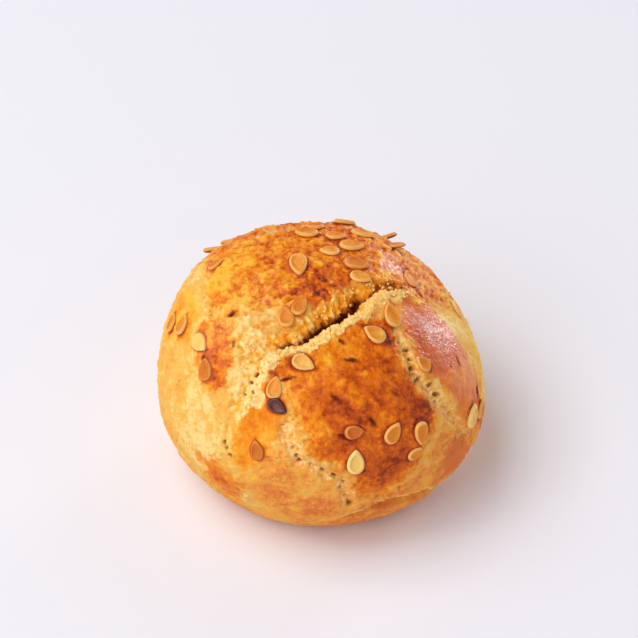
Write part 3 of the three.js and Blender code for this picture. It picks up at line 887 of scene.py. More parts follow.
def shaped(piece, lay_out, values, smooth=True):
    """Runs geometry nodes on a piece and keeps the plain mesh.

    The tree has a named input for each value. lay_out adds its nodes, between those inputs and the end
    that every tree has, and returns their geometry.
    """
    tree = bpy.data.node_groups.new(lay_out.__name__, "GeometryNodeTree")
    for way in ("INPUT", "OUTPUT"):
        tree.interface.new_socket("Geometry", in_out=way, socket_type="NodeSocketGeometry")
    identifiers = {}
    for label, value in values.items():
        kind = "NodeSocket" + type(value).__name__.capitalize()
        identifiers[label] = tree.interface.new_socket(label, in_out="INPUT", socket_type=kind).identifier
    entry = add(tree, "NodeGroupInput", out=None)
    given = {socket.name: Output(tree, socket) for socket in entry.outputs}

    shape = lay_out(tree, given)
    shape = add(tree, "GeometryNodeRealizeInstances", {"Geometry": shape})
    shape = add(tree, "GeometryNodeSetShadeSmooth", {"Geometry": shape, "Shade Smooth": smooth})
    shape = add(tree, "GeometryNodeSetMaterial", {"Geometry": shape, "Material": given["Material"]})
    add(tree, "NodeGroupOutput", {"Geometry": shape}, None)

    modifier = piece.modifiers.new(tree.name, "NODES")
    modifier.node_group = tree
    for label, value in values.items():
        modifier[identifiers[label]] = value
    bpy.context.view_layer.update()
    depsgraph = bpy.context.evaluated_depsgraph_get()
    mesh = bpy.data.meshes.new_from_object(piece.evaluated_get(depsgraph), depsgraph=depsgraph)
    piece.modifiers.remove(modifier)
    old, piece.data = piece.data, mesh
    mesh.name = piece.name
    bpy.data.meshes.remove(old)


def crust_relief(tree, given):
    """Crumb and strands in the tear, and folds and wrinkles in the skin."""
    mesh = SimpleNamespace()
    for name in RELIEF_VALUES:
        value = add(tree, "GeometryNodeInputNamedAttribute", {"Name": name}, "Attribute", data_type="FLOAT")
        setattr(mesh, name, value)

    # patterns from -0.5 to 0.5, each with features of a size
    place = add(tree, "GeometryNodeInputPosition")
    wall = {"X": mesh.along_tear * MM, "Y": mesh.across_tear * (0.3 * MM)}
    wall = add(tree, "ShaderNodeCombineXYZ", wall)
    pattern = {}
    for name, where, size, detail, roughness, distortion in (
        ("grit", place, "Crumb Size", 4.0, 0.65, 0.0),
        ("strand", wall, "Strand Width", 1.0, 0.5, 0.0),
        ("folds", place, "Fold Size", 2.0, 0.5, 0.5),
        ("patches", place, "Fold Size", 2.0, 0.5, 0.0),
        ("wrinkles", place, "Wrinkle Size", 3.0, 0.6, 0.8),
        ("winding", place, "Furrow Spacing", 2.0, 0.6, 1.2),
    ):
        inputs = {
            "Vector": where,
            "Scale": 1.0 / given[size],
            "Detail": detail,
            "Roughness": roughness,
            "Distortion": distortion,
        }
        pattern[name] = add(tree, "ShaderNodeTexNoise", inputs) - 0.5

    # values brought to a share from 0 to 1 between two ends
    above = add(tree, "ShaderNodeSeparateXYZ", {0: place}, "Z")
    bend = add(tree, "ShaderNodeMath", {0: pattern["winding"]}, operation="ABSOLUTE")
    share = {}
    for name, value, low, high in (
        ("off furrow", bend, 0.0, 0.1),
        ("furrowed", pattern["patches"], -0.1, 0.15),
        ("above table", above, 0.3 * MM, 2.5 * MM),
        ("clear of seed", mesh.seed_gap, *CLEAR_OF_SEED),
    ):
        ends = {"Value": value, "From Min": low, "From Max": high}
        share[name] = add(tree, "ShaderNodeMapRange", ends)

    # crumb: ragged lumps with rounded ones among them
    cell = {"Vector": place, "Scale": 0.8 / given["Crumb Size"], "Smoothness": 0.3}
    cells = add(tree, "ShaderNodeTexVoronoi", cell, "Distance", feature="SMOOTH_F1")
    grit, folds, wrinkles = pattern["grit"], pattern["folds"], pattern["wrinkles"]
    crumb = grit * 2.2 + (cells * -0.7 + 0.35)

    # strands that run down the torn wall
    strand = pattern["strand"] * 2.5 * mesh.stranded
    rough = crumb * (mesh.lip * 0.5 + 1.0) * given["Crumb Height"] + strand * given["Strand Height"]

    # skin: shallow folds all over, and wrinkles, deepest where the glaze is mottled
    furrow = (1.0 - share["off furrow"]) * share["furrowed"]
    wrinkled = wrinkles * given["Wrinkle Height"] - furrow * given["Furrow Depth"]
    skin = folds * given["Fold Height"] + wrinkled * mesh.wrinkly
    taut = {0: mesh.shine * (mesh.mottled - 1.15) + 1.0, 1: 0.15}
    skin = skin * add(tree, "ShaderNodeMath", taut, operation="MAXIMUM")
    skin = skin + mesh.seam * (grit * given["Crumb Height"])

    height = skin + (rough - skin) * mesh.torn
    height = height * share["above table"] * share["clear of seed"]
    shape = given["Geometry"]
    # the relief's patterns, kept so that the colours paint light on their tops and shade in their hollows
    kept = {"crumb": crumb, "strand": strand, "fold": folds, "wrinkle": wrinkles, "furrow": furrow}
    for name, field in kept.items():
        inputs = {"Geometry": shape, "Name": name, "Value": field}
        shape = add(tree, "GeometryNodeStoreNamedAttribute", inputs, data_type="FLOAT", domain="POINT")
    normal = add(tree, "GeometryNodeInputNormal")
    offset = add(tree, "ShaderNodeVectorMath", {0: normal, "Scale": height}, operation="SCALE")
    return add(tree, "GeometryNodeSetPosition", {"Geometry": shape, "Offset": offset})


def sesame_on_points(tree, given):
    """A seed on every point, turned, scaled and bent a little."""
    seed = add(tree, "GeometryNodeObjectInfo", {"Object": given["Seed"]}, "Geometry")
    kind = "GeometryNodeInputNamedAttribute"
    turn = add(tree, kind, {"Name": "turn"}, "Attribute", data_type="FLOAT_VECTOR")
    turn = add(tree, "FunctionNodeEulerToRotation", {0: turn})
    points = add(tree, "GeometryNodeMeshToPoints", {"Mesh": given["Geometry"]})
    size = add(tree, kind, {"Name": "size"}, "Attribute", data_type="FLOAT_VECTOR")
    inputs = {"Points": points, "Instance": seed, "Rotation": turn, "Scale": size}
    placed = add(tree, "GeometryNodeInstanceOnPoints", inputs)
    realized = add(tree, "GeometryNodeRealizeInstances", {"Geometry": placed})
    place = add(tree, "GeometryNodeInputPosition")
    bends = {"Vector": place, "Scale": 1 / (1.6 * MM), "Detail": 1.0}
    bend = add(tree, "ShaderNodeTexNoise", bends, "Color")
    bend = add(tree, "ShaderNodeVectorMath", {0: bend, 1: (0.5, 0.5, 0.5)}, operation="SUBTRACT")
    bend = add(tree, "ShaderNodeVectorMath", {0: bend, "Scale": given["Unevenness"]}, operation="SCALE")
    return add(tree, "GeometryNodeSetPosition", {"Geometry": realized, "Offset": bend})


def crumb_scatter(tree, given):
    """Crumbs scattered over the torn dough, turned every way and of many sizes."""
    kind = "GeometryNodeInputNamedAttribute"
    crumbly = add(tree, kind, {"Name": "crumbly"}, "Attribute", data_type="FLOAT")
    spread = {
        "Mesh": given["Geometry"],
        "Distance Min": given["Spacing"],
        "Density Max": given["Density"],
        "Density Factor": crumbly,
        "Seed": given["Seed"],
    }
    kind = "GeometryNodeDistributePointsOnFaces"
    spots = add(tree, kind, spread, "Points", distribute_method="POISSON")
    kind = "FunctionNodeRandomValue"
    ends = {"Min": given["Smallest"], "Max": given["Largest"], "Seed": 2}
    size = add(tree, kind, ends, "Value", data_type="FLOAT")
    ends = {0: (0.0, 0.0, 0.0), 1: (math.tau, math.tau, math.tau), "Seed": 3}
    turn = add(tree, kind, ends, "Value", data_type="FLOAT_VECTOR")
    turn = add(tree, "FunctionNodeEulerToRotation", {0: turn})
    crumb = add(tree, "GeometryNodeObjectInfo", {"Object": given["Crumb"]}, "Geometry")
    inputs = {"Points": spots, "Instance": crumb, "Rotation": turn, "Scale": size}
    return add(tree, "GeometryNodeInstanceOnPoints", inputs)


# ---------------------------------------------------------------- materials


def new_material(name):
    """An empty material and its tree."""
    material = bpy.data.materials.new(name)
    material.use_nodes = True
    material.node_tree.nodes.clear()
    return material, material.node_tree


def finished(material, inputs):
    """A material, ended with a shader that has these inputs."""
    shader = add(material.node_tree, "ShaderNodeBsdfPrincipled", inputs)
    add(material.node_tree, "ShaderNodeOutputMaterial", {"Surface": shader}, None)
    return material


def with_stops(ramp, *stops):
    """Gives a colour ramp its stops, each (value, colour), and returns its colour."""
    elements = ramp.color_ramp.elements
    while len(elements) < len(stops):
        elements.new(0.5)
    for element, (position, colour) in zip(elements, stops):
        element.position = position
        element.color = colour
    return Output(ramp.id_data, ramp.outputs["Color"])


# The values stored on the dough that its colours follow.
CRUST_VALUES = (
    "glaze", "brown", "mottled", "shine", "toast", "torn", "sunk", "lip", "seam", "crease", "brow",
    "vein", "pore", "nick", "crumb", "strand", "fold", "wrinkle", "wrinkly", "furrow", "seed_gap",
)


def crust_material(colours):
    """Egg-washed short dough, baked: satin pale dough, glossy browned glaze and dull torn crumb. Its
    colours also hold painted light on lumps, folds and wrinkles, and painted shade in hollows, furrows,
    pits, splits and round the seeds.
    """
    material, tree = new_material("egg_washed_baked_dough")
    place = add(tree, "ShaderNodeTexCoord", out="Object")
    mesh = SimpleNamespace()
    for name in CRUST_VALUES:
        setattr(mesh, name, add(tree, "ShaderNodeAttribute", out="Fac", attribute_name=name))

    # patterns from -0.5 to 0.5: the size of their features in millimetres, detail, roughness, distortion
    pattern = []
    for size, detail, roughness, distortion in (
        (5.5, 2.0, 0.5, 0.0),
        (2.7, 3.0, 0.55, 0.7),
        (1.3, 3.0, 0.6, 0.6),
        (0.6, 2.0, 0.55, 0.3),
        (0.6, 2.0, 0.5, 0.0),
        (0.28, 2.0, 0.5, 0.0),
    ):
        inputs = {
            "Vector": place,
            "Scale": 1.0 / (size * MM),
            "Detail": detail,
            "Roughness": roughness,
            "Distortion": distortion,
        }
        pattern.append(add(tree, "ShaderNodeTexNoise", inputs) - 0.5)
    patchy, blotch, mottle, speckle, grain, fine_grain = pattern
    cell = {"Vector": place, "Scale": 1 / (1.5 * MM)}
    spots = add(tree, "ShaderNodeTexVoronoi", cell, "Distance")

    # values eased to a share from 0 to 1 between two ends
    share = SimpleNamespace()
    for name, value, low, high in (
        ("off_freckle", spots, 0.1, 0.2),
        ("freckled", patchy, -0.02, 0.12),
        ("thick", mesh.glaze, -0.5, 2.2),
        ("off_seed", mesh.seed_gap, 0.05, 0.6),
        ("glazed", mesh.glaze + blotch * 3.0 + mottle * 2.0 + speckle, -0.8, 0.9),
        ("porous", mesh.seam + speckle, 0.2, 0.8),
        ("deepest", mesh.sunk + mottle * 0.3 + mesh.toast * 0.18, 0.62, 0.88),
        ("torn", mesh.torn + speckle * 0.8 + mesh.strand * 0.4, 0.2, 0.75),
        ("off_line", mesh.seed_gap + mottle * 0.6 + speckle * 0.3, 0.0, 0.3),
    ):
        ends = {"Value": value, "From Min": low, "From Max": high}
        setattr(share, name, add(tree, "ShaderNodeMapRange", ends, interpolation_type="SMOOTHSTEP"))

    # bare dough, from cream through yellow to toasted tan, painted paler on the tops of folds and wrinkles
    # as painted light and darker in furrows as painted shade
    toast = mesh.toast + patchy * 0.8 + blotch * 0.6 + mottle * 0.5 + speckle * 0.7
    toast = toast + mesh.furrow * 0.3 - mesh.fold * 0.5 - mesh.wrinkle * mesh.wrinkly * 0.7
    bare = with_stops(
        add(tree, "ShaderNodeValToRGB", {"Fac": toast + 0.3}, None),
        (0.05, colours.cream_dough),
        (0.3, colours.pale_dough),
        (0.65, colours.golden_dough),
        (1.0, colours.toasted_dough),
    )

    # glaze, from golden to dark brown, thin at its edges and pooled round the seeds, where it is darker
    # partly as painted shade, painted darker in furrows as shade and paler on folds and wrinkles as painted
    # light
    busy = blotch * 1.3 + mottle + speckle * 0.8 + mesh.furrow * 0.25
    brown = mesh.brown * (share.thick * 0.35 + 0.65) + patchy * 0.35 + busy * mesh.mottled
    brown = brown + (1.0 - share.off_seed) * 0.3 - mesh.fold * 0.4 - mesh.wrinkle * mesh.mottled * 0.95
    glaze = with_stops(
        add(tree, "ShaderNodeValToRGB", {"Fac": brown}, None),
        (0.0, colours.golden_glaze),
        (0.3, colours.orange_glaze),
        (0.55, colours.amber_glaze),
        (0.8, colours.brown_glaze),
        (1.0, colours.dark_glaze),
    )

    # the porous dough of seams
    rind = speckle * 2.0 + mottle * 0.8 - mesh.toast * 0.25 + 0.75
    rind = with_stops(
        add(tree, "ShaderNodeValToRGB", {"Fac": rind}, None),
        (0.0, colours.toasted_dough),
        (0.5, colours.golden_dough),
        (1.0, colours.lip_crumb),
    )

    # torn crumb: painted light on its lumps and painted shade between them, darker in the toasted part,
    # which at the wide tear's right end is painted shade, and painted dark as shade at the bottom
    raised = mesh.crumb * 0.8 + mesh.strand * 0.5 + speckle * 0.5
    raised = raised - mesh.toast * 0.55 - mesh.sunk * 0.25 + 0.82
    crumb = with_stops(
        add(tree, "ShaderNodeValToRGB", {"Fac": raised}, None),
        (0.0, colours.torn_hollow),
        (0.4, colours.torn_shade),
        (0.75, colours.torn_crumb),
        (1.0, colours.lip_crumb),
    )
    for much, layer in (
        (share.deepest, colours.tear_bottom),
        (mesh.lip * (blotch * 1.5 + 0.62), colours.lip_crumb),
    ):
        crumb = add(tree, "ShaderNodeMix", {"Factor": much, 6: crumb, 7: layer}, 2, data_type="RGBA")

    # freckles where steam left the dough, the glaze, seams, the foot's crease in painted shade, pale
    # ridges, torn crumb, a brown line round each seed that is partly pooled glaze and partly painted
    # contact shadow, and pits and splits in painted shade, each laid over the ones before it
    line = {"Factor": share.glazed, 6: colours.torn_shade, 7: colours.brown_glaze}
    line = add(tree, "ShaderNodeMix", line, 2, data_type="RGBA")
    colour = bare
    for much, layer in (
        ((1.0 - share.off_freckle) * share.freckled * 0.5, colours.torn_hollow),
        (share.glazed, glaze),
        (share.porous * 0.8, rind),
        (mesh.crease * (mottle + 0.8), colours.amber_glaze),
        (mesh.brow * 0.6, colours.cream_dough),
        (mesh.vein * (speckle * 2.0 + 0.6), colours.golden_glaze),
        (share.torn, crumb),
        ((1.0 - share.off_line) * 0.75, line),
        (mesh.pore * 0.85, colours.tear_bottom),
        (mesh.nick, colours.split_glaze),
    ):
        colour = add(tree, "ShaderNodeMix", {"Factor": much, 6: colour, 7: layer}, 2, data_type="RGBA")

    # skin too fine for the mesh: a grain of a quarter and of half a millimetre
    fine = fine_grain + grain * 1.6
    bumped = add(tree, "ShaderNodeBump", {"Strength": 0.75, "Distance": 0.11 * MM, "Height": fine})

    dull = share.torn
    for value in (share.porous * 0.8, mesh.pore, mesh.nick):
        dull = add(tree, "ShaderNodeMath", {0: dull, 1: value}, operation="MAXIMUM")
    washed = add(tree, "ShaderNodeMath", {0: share.glazed, 1: mesh.shine}, operation="MAXIMUM")
    gloss = add(tree, "ShaderNodeClamp", {"Value": washed * (1.0 - dull)})
    return finished(
        material,
        {
            "Base Color": colour,
            "Roughness": mottle * 0.3 - gloss * 0.2 + 0.7,
            "IOR": 1.45,
            "Specular IOR Level": 0.15,
            "Normal": bumped,
            "Coat Weight": gloss * (mesh.shine + 0.12),
            "Coat Roughness": 0.24,
            "Coat Normal": bumped,
            "Subsurface Weight": 0.15,
            "Subsurface Radius": (1.0, 0.45, 0.15),
            "Subsurface Scale": 1.2 * MM,
        },
    )


def seed_material(colours):
    """Toasted hulled sesame under a film of egg wash: satin, with a paler rim, an orange middle and painted
    shade below its rim.
    """
    material, tree = new_material("toasted_sesame")
    place = add(tree, "ShaderNodeTexCoord", out="Object")
    tone = add(tree, "ShaderNodeAttribute", out="Fac", attribute_name="tone")
    rim = add(tree, "ShaderNodeAttribute", out="Fac", attribute_name="rim")
    blotch = {"Vector": place, "Scale": 1 / (1.1 * MM), "Detail": 3.0}
    blotch = add(tree, "ShaderNodeTexNoise", blotch) - 0.5
    toned = add(tree, "ShaderNodeClamp", {"Value": tone + blotch * 0.7})

    # pale, golden or soaked by the seed's tone, in its middle and at its rim
    shades = []
    for pale, golden, soaked in (
        (colours.pale_seed, colours.golden_seed, colours.soaked_seed),
        (colours.pale_rim, colours.golden_rim, colours.soaked_rim),
    ):
        ramp = add(tree, "ShaderNodeValToRGB", {"Fac": toned}, None)
        shades.append(with_stops(ramp, (0.05, pale), (0.45, golden), (1.0, soaked)))
    colour, edge = shades
    burnt = add(tree, "ShaderNodeMath", {0: tone, 1: 1.5}, operation="GREATER_THAN")
    shares = []
    for value, low, high in ((rim + blotch * 0.5, 0.75, 0.88), (rim, 1.0, 1.15)):
        ends = {"Value": value, "From Min": low, "From Max": high}
        shares.append(add(tree, "ShaderNodeMapRange", ends, interpolation_type="SMOOTHSTEP"))
    # the rim's colour, painted shade on the underside below the rim, and a burnt seed's colour
    for much, layer in zip((*shares, burnt), (edge, colours.torn_hollow, colours.burnt_seed)):
        colour = add(tree, "ShaderNodeMix", {"Factor": much, 6: colour, 7: layer}, 2, data_type="RGBA")
    return finished(
        material,
        {
            "Base Color": colour,
            "Roughness": 0.45,
            "IOR": 1.45,
            "Specular IOR Level": 0.3,
            "Coat Weight": burnt * 0.45,
            "Coat Roughness": 0.2,
            "Subsurface Weight": 0.1,
            "Subsurface Radius": (1.0, 0.6, 0.3),
            "Subsurface Scale": 0.6 * MM,
        },
    )


def crumb_material(colours):
    """Loose crumb of baked short dough: dull, cream to golden."""
    material, tree = new_material("baked_crumb")
    place = add(tree, "ShaderNodeTexCoord", out="Object")
    blotch = add(tree, "ShaderNodeTexNoise", {"Vector": place, "Scale": 1 / (0.8 * MM)})
    toasted = add(tree, "ShaderNodeMapRange", {"Value": blotch, "From Min": 0.35, "From Max": 0.7})
    colour = {"Factor": toasted, 6: colours.lip_crumb, 7: colours.torn_crumb}
    colour = add(tree, "ShaderNodeMix", colour, 2, data_type="RGBA")
    return finished(
        material,
        {
            "Base Color": colour,
            "Roughness": 0.75,
            "Subsurface Weight": 0.15,
            "Subsurface Radius": (1.0, 0.5, 0.25),
            "Subsurface Scale": 0.6 * MM,
        },
    )


# ---------------------------------------------------------------- one seed


def seed_shape():
    """One sesame seed: its points, its faces, and how near its rim each point is, over 1 below the rim."""
    sides = 22
    turn = np.arange(sides) * math.tau / sides
    along = np.sin(turn)
    outline = np.stack((np.cos(turn) * taper(along) * SEED_WIDTH / 2, along * SEED_LENGTH / 2), axis=1)
    points, rim = [(0, 0, 0.48 * SEED_THICKNESS / 2)], [0]
    for share, height in SEED_SECTION:
        points += [(share * x, share * y, height * SEED_THICKNESS / 2) for x, y in outline]
        rim += [share if height > -0.1 else 1.2] * sides
    points.append((0, 0, -0.9 * SEED_THICKNESS / 2))
    rim.append(1.2)
    faces = []
    last = len(SEED_SECTION) - 1
    for i in range(sides):
        j = (i + 1) % sides
        faces.append((0, 1 + i, 1 + j))
        faces.append((len(points) - 1, 1 + last * sides + j, 1 + last * sides + i))
        for ring in range(last):
            a = 1 + ring * sides
            faces.append((a + i, a + sides + i, a + sides + j, a + j))
    return points, faces, rim


# ---------------------------------------------------------------- what a user may change


def length(label, description, default_mm):
    """A length property, given in millimetres."""
    return FloatProperty(
        name=label, description=description, default=default_mm * MM, min=0, precision=5, unit="LENGTH"
    )


def colour(label, description, hex_colour):
    """A colour property, given as an sRGB hex colour."""
    default = linear(hex_colour)
    return FloatVectorProperty(
        name=label, description=description, default=default, size=4, min=0, max=1, subtype="COLOR"
    )


def measure(label, description, default, unit="NONE"):
    """A property that is a power, a distance or a brightness."""
    return FloatProperty(name=label, description=description, default=default, min=0, unit=unit)


class BorekSizes(bpy.types.PropertyGroup):
    """Sizes of the crust's relief and of its crumbs"""

    crumb_size: length("Crumb size", "Width of a lump of crumb in a tear", 0.75)
    crumb_height: length("Crumb height", "How far those lumps stand out", 0.52)
    strand_width: length("Strand width", "Width of the strands of torn dough", 0.8)
    strand_height: length("Strand height", "How far the strands stand out", 0.55)
    fold_size: length("Fold size", "Width of the folds in the skin", 3.4)
    fold_height: length("Fold height", "Depth of the folds in the skin", 0.75)
    wrinkle_size: length("Wrinkle size", "Width of the wrinkles in the skin", 1.2)
    wrinkle_height: length("Wrinkle height", "Depth of the wrinkles in the skin", 1.3)
    furrow_spacing: length("Furrow spacing", "Distance between fine furrows in the skin", 2.2)
    furrow_depth: length("Furrow depth", "Depth of those furrows", 0.2)
    loose_crumb: length("Loose crumb", "Radius of a loose crumb", 0.24)
    crumb_spacing: length("Crumb spacing", "Least distance between loose crumbs", 0.42)


class BorekColours(bpy.types.PropertyGroup):
    """Colours of the dough, the glaze and the seeds"""

    cream_dough: colour("Cream dough", "Bare dough at its palest", "#f0cd80")
    pale_dough: colour("Pale dough", "Bare dough", "#e7b555")
    golden_dough: colour("Golden dough", "Bare dough, baked golden", "#ed9f40")
    toasted_dough: colour("Toasted dough", "Bare dough, toasted", "#d97436")
    golden_glaze: colour("Golden glaze", "Egg wash where it is thinnest", "#f6b634")
    orange_glaze: colour("Orange glaze", "Egg wash, lightly browned", "#ec8a0a")
    amber_glaze: colour("Amber glaze", "Egg wash, browned", "#d56003")
    brown_glaze: colour("Brown glaze", "Egg wash, well browned", "#a53b04")
    dark_glaze: colour("Dark glaze", "Egg wash where it scorched", "#5e1e05")
    # painted shade in splits and in the foot crease's crack, and painted shadow beside a seed and under a
    # knob
    split_glaze: colour("Split glaze", "Inside the short splits of the glaze", "#6e1602")
    lip_crumb: colour("Lip crumb", "Crumb along the lip of the tear", "#fadc94")
    torn_crumb: colour("Torn crumb", "Dough inside a tear", "#feba3e")
    torn_shade: colour("Torn shade", "Dough inside a tear, in its hollows", "#f09620")
    # painted shade in the deepest hollows of torn dough and under each seed's rim, and the own colour of
    # the freckles
    torn_hollow: colour("Torn hollow", "The deepest hollows of torn dough", "#9c4e16")
    # painted shade at the bottom of a tear and in pits and pores
    tear_bottom: colour("Tear bottom", "The deepest part of a tear", "#641f07")
    pale_seed: colour("Pale seed", "A seed that stayed dry", "#efc064")
    golden_seed: colour("Golden seed", "A seed lightly toasted", "#df871b")
    soaked_seed: colour("Soaked seed", "A seed under egg wash", "#c25e17")
    pale_rim: colour("Pale rim", "The rim of a dry seed", "#f6d386")
    golden_rim: colour("Golden rim", "The rim of a lightly toasted seed", "#efb460")
    soaked_rim: colour("Soaked rim", "The rim of a seed under egg wash", "#da8636")
    burnt_seed: colour("Burnt seed", "A seed that burnt", "#561d12")


class BorekStage(bpy.types.PropertyGroup):
    """The camera and the lights"""

    distance: measure("Camera distance", "From the heart of the bun", 0.6, "LENGTH")
    key: measure("Key light", "Power of the window at the left", 13.4, "POWER")
    near: measure("Near light", "Power of the lamp at the left front", 0.85, "POWER")
    rim: measure("Rim light", "Power of the lamp at the right back", 2.8, "POWER")
    walls: measure("Walls", "Brightness of the studio's pale walls", 1.0)
    ceiling: measure("Ceiling", "Brightness of the studio's dark ceiling", 0.1)
    floor: colour("Floor", "Colour of the table top", "#ecebf0")


# ---------------------------------------------------------------- operators

# The relief's inputs. Each is the size of that name in BorekSizes.
RELIEF_INPUTS = (
    "Crumb Size", "Crumb Height", "Strand Width", "Strand Height", "Fold Size", "Fold Height",
    "Wrinkle Size", "Wrinkle Height", "Furrow Spacing", "Furrow Depth",
)

FLOOR_REACH = 2000.0  # from the middle of the table top to its sides
PICTURE = 638  # pixels each way
PICTURE_SCALE = 6.6  # pixels for each millimetre at the heart
HEART_IN_PICTURE = (322, 372)  # pixels from the left and from the top


class BOREK_OT_dough(bpy.types.Operator):
    """Makes the dough with its tears, its relief and its glaze"""

    bl_idname = "borek.make_dough"
    bl_label = "Make Dough"

    def execute(self, context):
        sizes, colours = context.scene.borek_sizes, context.scene.borek_colours
        seeds = all_seeds()
        hearts = np.array([place.translation for place, _, _ in seeds]) - (0, 0, WAIST)
        directions, triangles = dough_net(plain_points(unit(hearts)))
        fields = dough_fields(directions)
        gap = fields["seed_gap"] = seed_gaps(crust_points(directions), seeds)
        caramel = MENISCUS * np.exp(-((gap / MENISCUS_WIDTH) ** 2))
        raised = fields.pop("raised") * smooth(gap, *CLEAR_OF_SEED)
        points = crust_points(directions, raised + caramel)
        dough = mesh_piece("borek_dough", points, triangles)
        give_values(dough, fields)
        values = {label: getattr(sizes, label.lower().replace(" ", "_")) for label in RELIEF_INPUTS}
        values["Material"] = crust_material(colours)
        shaped(dough, crust_relief, values)
        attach(dough, "root")
        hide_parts("borek")
        return {"FINISHED"}


class BOREK_OT_crumbs(bpy.types.Operator):
    """Scatters loose crumbs over the lip and the walls of the tear"""

    bl_idname = "borek.make_crumbs"
    bl_label = "Make Crumbs"

    def execute(self, context):
        sizes, colours = context.scene.borek_sizes, context.scene.borek_colours
        dough = bpy.data.objects["borek_dough"]
        ball = bmesh.new()
        bmesh.ops.create_cube(ball, size=1.0)
        bmesh.ops.subdivide_edges(ball, edges=ball.edges, cuts=1, use_grid_fill=True)
        points = unit(np.array([v.co for v in ball.verts]))
        faces = [[v.index for v in f.verts] for f in ball.faces]
        ball.free()
        points *= (1 + 0.35 * waves(points, 1.7, 8))[:, None]
        crumb = mesh_piece("one_crumb", points * sizes.loose_crumb / MM, faces)
        crumbs = bpy.data.objects.new("loose_crumbs", dough.data.copy())
        context.scene.collection.objects.link(crumbs)
        torn, lip, sunk = np.zeros((3, len(dough.data.vertices)), np.float32)
        for name, values in (("torn", torn), ("lip", lip), ("sunk", sunk)):
            dough.data.attributes[name].data.foreach_get("value", values)
        give_values(crumbs, {"crumbly": torn * (0.5 + 0.5 * lip) * (1 - sunk)})
        values = {
            "Crumb": crumb,
            "Spacing": sizes.crumb_spacing,
            "Density": 4.0e6,  # for each square metre
            "Smallest": 0.5,
            "Largest": 1.3,
            "Seed": 5,
            "Material": crumb_material(colours),
        }
        shaped(crumbs, crumb_scatter, values, smooth=False)
        bpy.data.objects.remove(crumb)
        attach(crumbs, "root")
        return {"FINISHED"}


class BOREK_OT_seeds(bpy.types.Operator):
    """Lays the sesame seeds on the crust"""

    bl_idname = "borek.make_seeds"
    bl_label = "Make Seeds"

    def execute(self, context):
        colours = context.scene.borek_colours
        shape, faces, rim = seed_shape()
        one = mesh_piece("one_seed", shape, faces)
        give_values(one, {"rim": rim})
        seeds = all_seeds()
        places = [place for place, _, _ in seeds]
        piece = mesh_piece("sesame_seeds", [place.translation for place in places], [])
        draw = random_from(41)
        scales = []
        for _, scale, _ in seeds:
            scales.append((scale * (0.94 + 0.12 * draw()), scale, scale * (0.9 + 0.2 * draw())))
        turns = [place.to_euler("XYZ") for place in places]
        give_values(piece, {"turn": turns, "size": scales, "tone": [tone for _, _, tone in seeds]})
        values = {"Seed": one, "Unevenness": 0.05 * MM, "Material": seed_material(colours)}
        shaped(piece, sesame_on_points, values)
        bpy.data.objects.remove(one)
        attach(piece, "root")
        return {"FINISHED"}


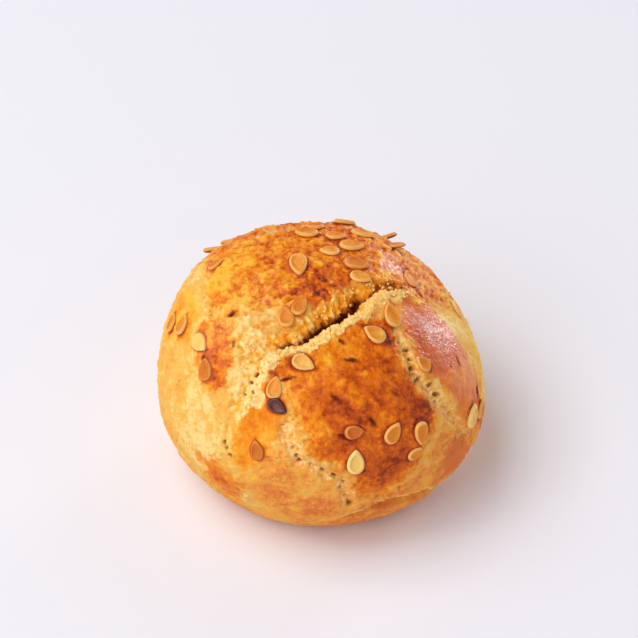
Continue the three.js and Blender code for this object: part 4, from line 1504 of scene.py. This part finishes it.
class BOREK_OT_stage(bpy.types.Operator):
    """Makes the table top, the lights and the camera"""

    bl_idname = "borek.make_stage"
    bl_label = "Make Stage"

    def execute(self, context):
        stage = context.scene.borek_stage
        scene = context.scene
        scene.view_settings.view_transform = "Standard"

        corners = np.array(((-1, -1, 0), (1, -1, 0), (1, 1, 0), (-1, 1, 0)))
        floor = mesh_piece("table_top", corners * FLOOR_REACH, [(0, 1, 2, 3)])
        paint, _ = new_material("matt_white_board")
        matt = {"Base Color": stage.floor, "Roughness": 1.0, "Specular IOR Level": 0.0}
        floor.data.materials.append(finished(paint, matt))

        world = bpy.data.worlds.new("pale_studio")
        world.use_nodes = True
        tree = world.node_tree
        tree.nodes.clear()
        towards = add(tree, "ShaderNodeTexCoord", out="Generated")
        height = add(tree, "ShaderNodeSeparateXYZ", {0: towards}, "Z")
        ends = {
            "Value": height,
            "From Min": WALL_TOP,
            "From Max": CEILING_EDGE,
            "To Min": stage.walls,
            "To Max": stage.ceiling,
        }
        bright = add(tree, "ShaderNodeMapRange", ends)
        sky = add(tree, "ShaderNodeBackground", {"Color": linear("#f6f5fb"), "Strength": bright})
        add(tree, "ShaderNodeOutputWorld", {"Surface": sky}, None)
        scene.world = world

        # each lamp's bearing and height in degrees, its distance from the heart, its width and its power
        heart = Vector((0, 0, WAIST * MM))
        for name, bearing, height, away, size, power in (
            ("window", -90, 64, 1.6, 1.1, stage.key),
            ("near_window", -135, 48, 0.5, 0.34, stage.near),
            ("rim_lamp", 38, 7, 0.9, 0.26, stage.rim),
        ):
            lamp = bpy.data.lights.new(name, "AREA")
            lamp.shape = "SQUARE"
            lamp.size = size
            lamp.energy = power
            light = bpy.data.objects.new(name, lamp)
            scene.collection.objects.link(light)
            b, h = math.radians(bearing), math.radians(height)
            side = Vector((math.sin(b) * math.cos(h), math.cos(b) * math.cos(h), math.sin(h)))
            light.location = heart + side * away
            light.rotation_euler = side.to_track_quat("Z", "Y").to_euler()

        from_left, from_top = HEART_IN_PICTURE
        right, up, near = (Vector(v) for v in sight_lines())
        aim = heart - right * (from_left - PICTURE / 2) / PICTURE_SCALE * MM
        aim = aim + up * (from_top - PICTURE / 2) / PICTURE_SCALE * MM
        lens = bpy.data.cameras.new("camera")
        lens.sensor_width = 36.0
        lens.lens = lens.sensor_width * stage.distance / (PICTURE / PICTURE_SCALE * MM)
        lens.clip_start = 0.01
        lens.clip_end = 20.0
        camera = bpy.data.objects.new("camera", lens)
        scene.collection.objects.link(camera)
        camera.location = aim + near * stage.distance
        camera.rotation_euler = near.to_track_quat("Z", "Y").to_euler()
        scene.camera = camera
        return {"FINISHED"}


# ---------------------------------------------------------------- panel and registration


class BOREK_PT_panel(bpy.types.Panel):
    """Lists the steps that make the pastry"""

    bl_label = "Cheese Borek"
    bl_idname = "BOREK_PT_panel"
    bl_space_type = "VIEW_3D"
    bl_region_type = "UI"
    bl_category = "Borek"

    def draw(self, context):
        for operator in OPERATORS:
            self.layout.operator(operator.bl_idname)
        for group in ("borek_sizes", "borek_colours", "borek_stage"):
            settings = getattr(context.scene, group)
            box = self.layout.box()
            for name in settings.__annotations__:
                box.prop(settings, name)


OPERATORS = (BOREK_OT_dough, BOREK_OT_crumbs, BOREK_OT_seeds, BOREK_OT_stage)
GROUPS = {"borek_sizes": BorekSizes, "borek_colours": BorekColours, "borek_stage": BorekStage}


def register():
    for group in (*GROUPS.values(), *OPERATORS, BOREK_PT_panel):
        bpy.utils.register_class(group)
    for name, group in GROUPS.items():
        setattr(bpy.types.Scene, name, PointerProperty(type=group))


def unregister():
    for name in GROUPS:
        delattr(bpy.types.Scene, name)
    for group in reversed((*GROUPS.values(), *OPERATORS, BOREK_PT_panel)):
        bpy.utils.unregister_class(group)


def main():
    register()
    bpy.ops.borek.make_dough()
    bpy.ops.borek.make_crumbs()
    bpy.ops.borek.make_seeds()
    bpy.ops.borek.make_stage()


if __name__ == "__main__":
    main()
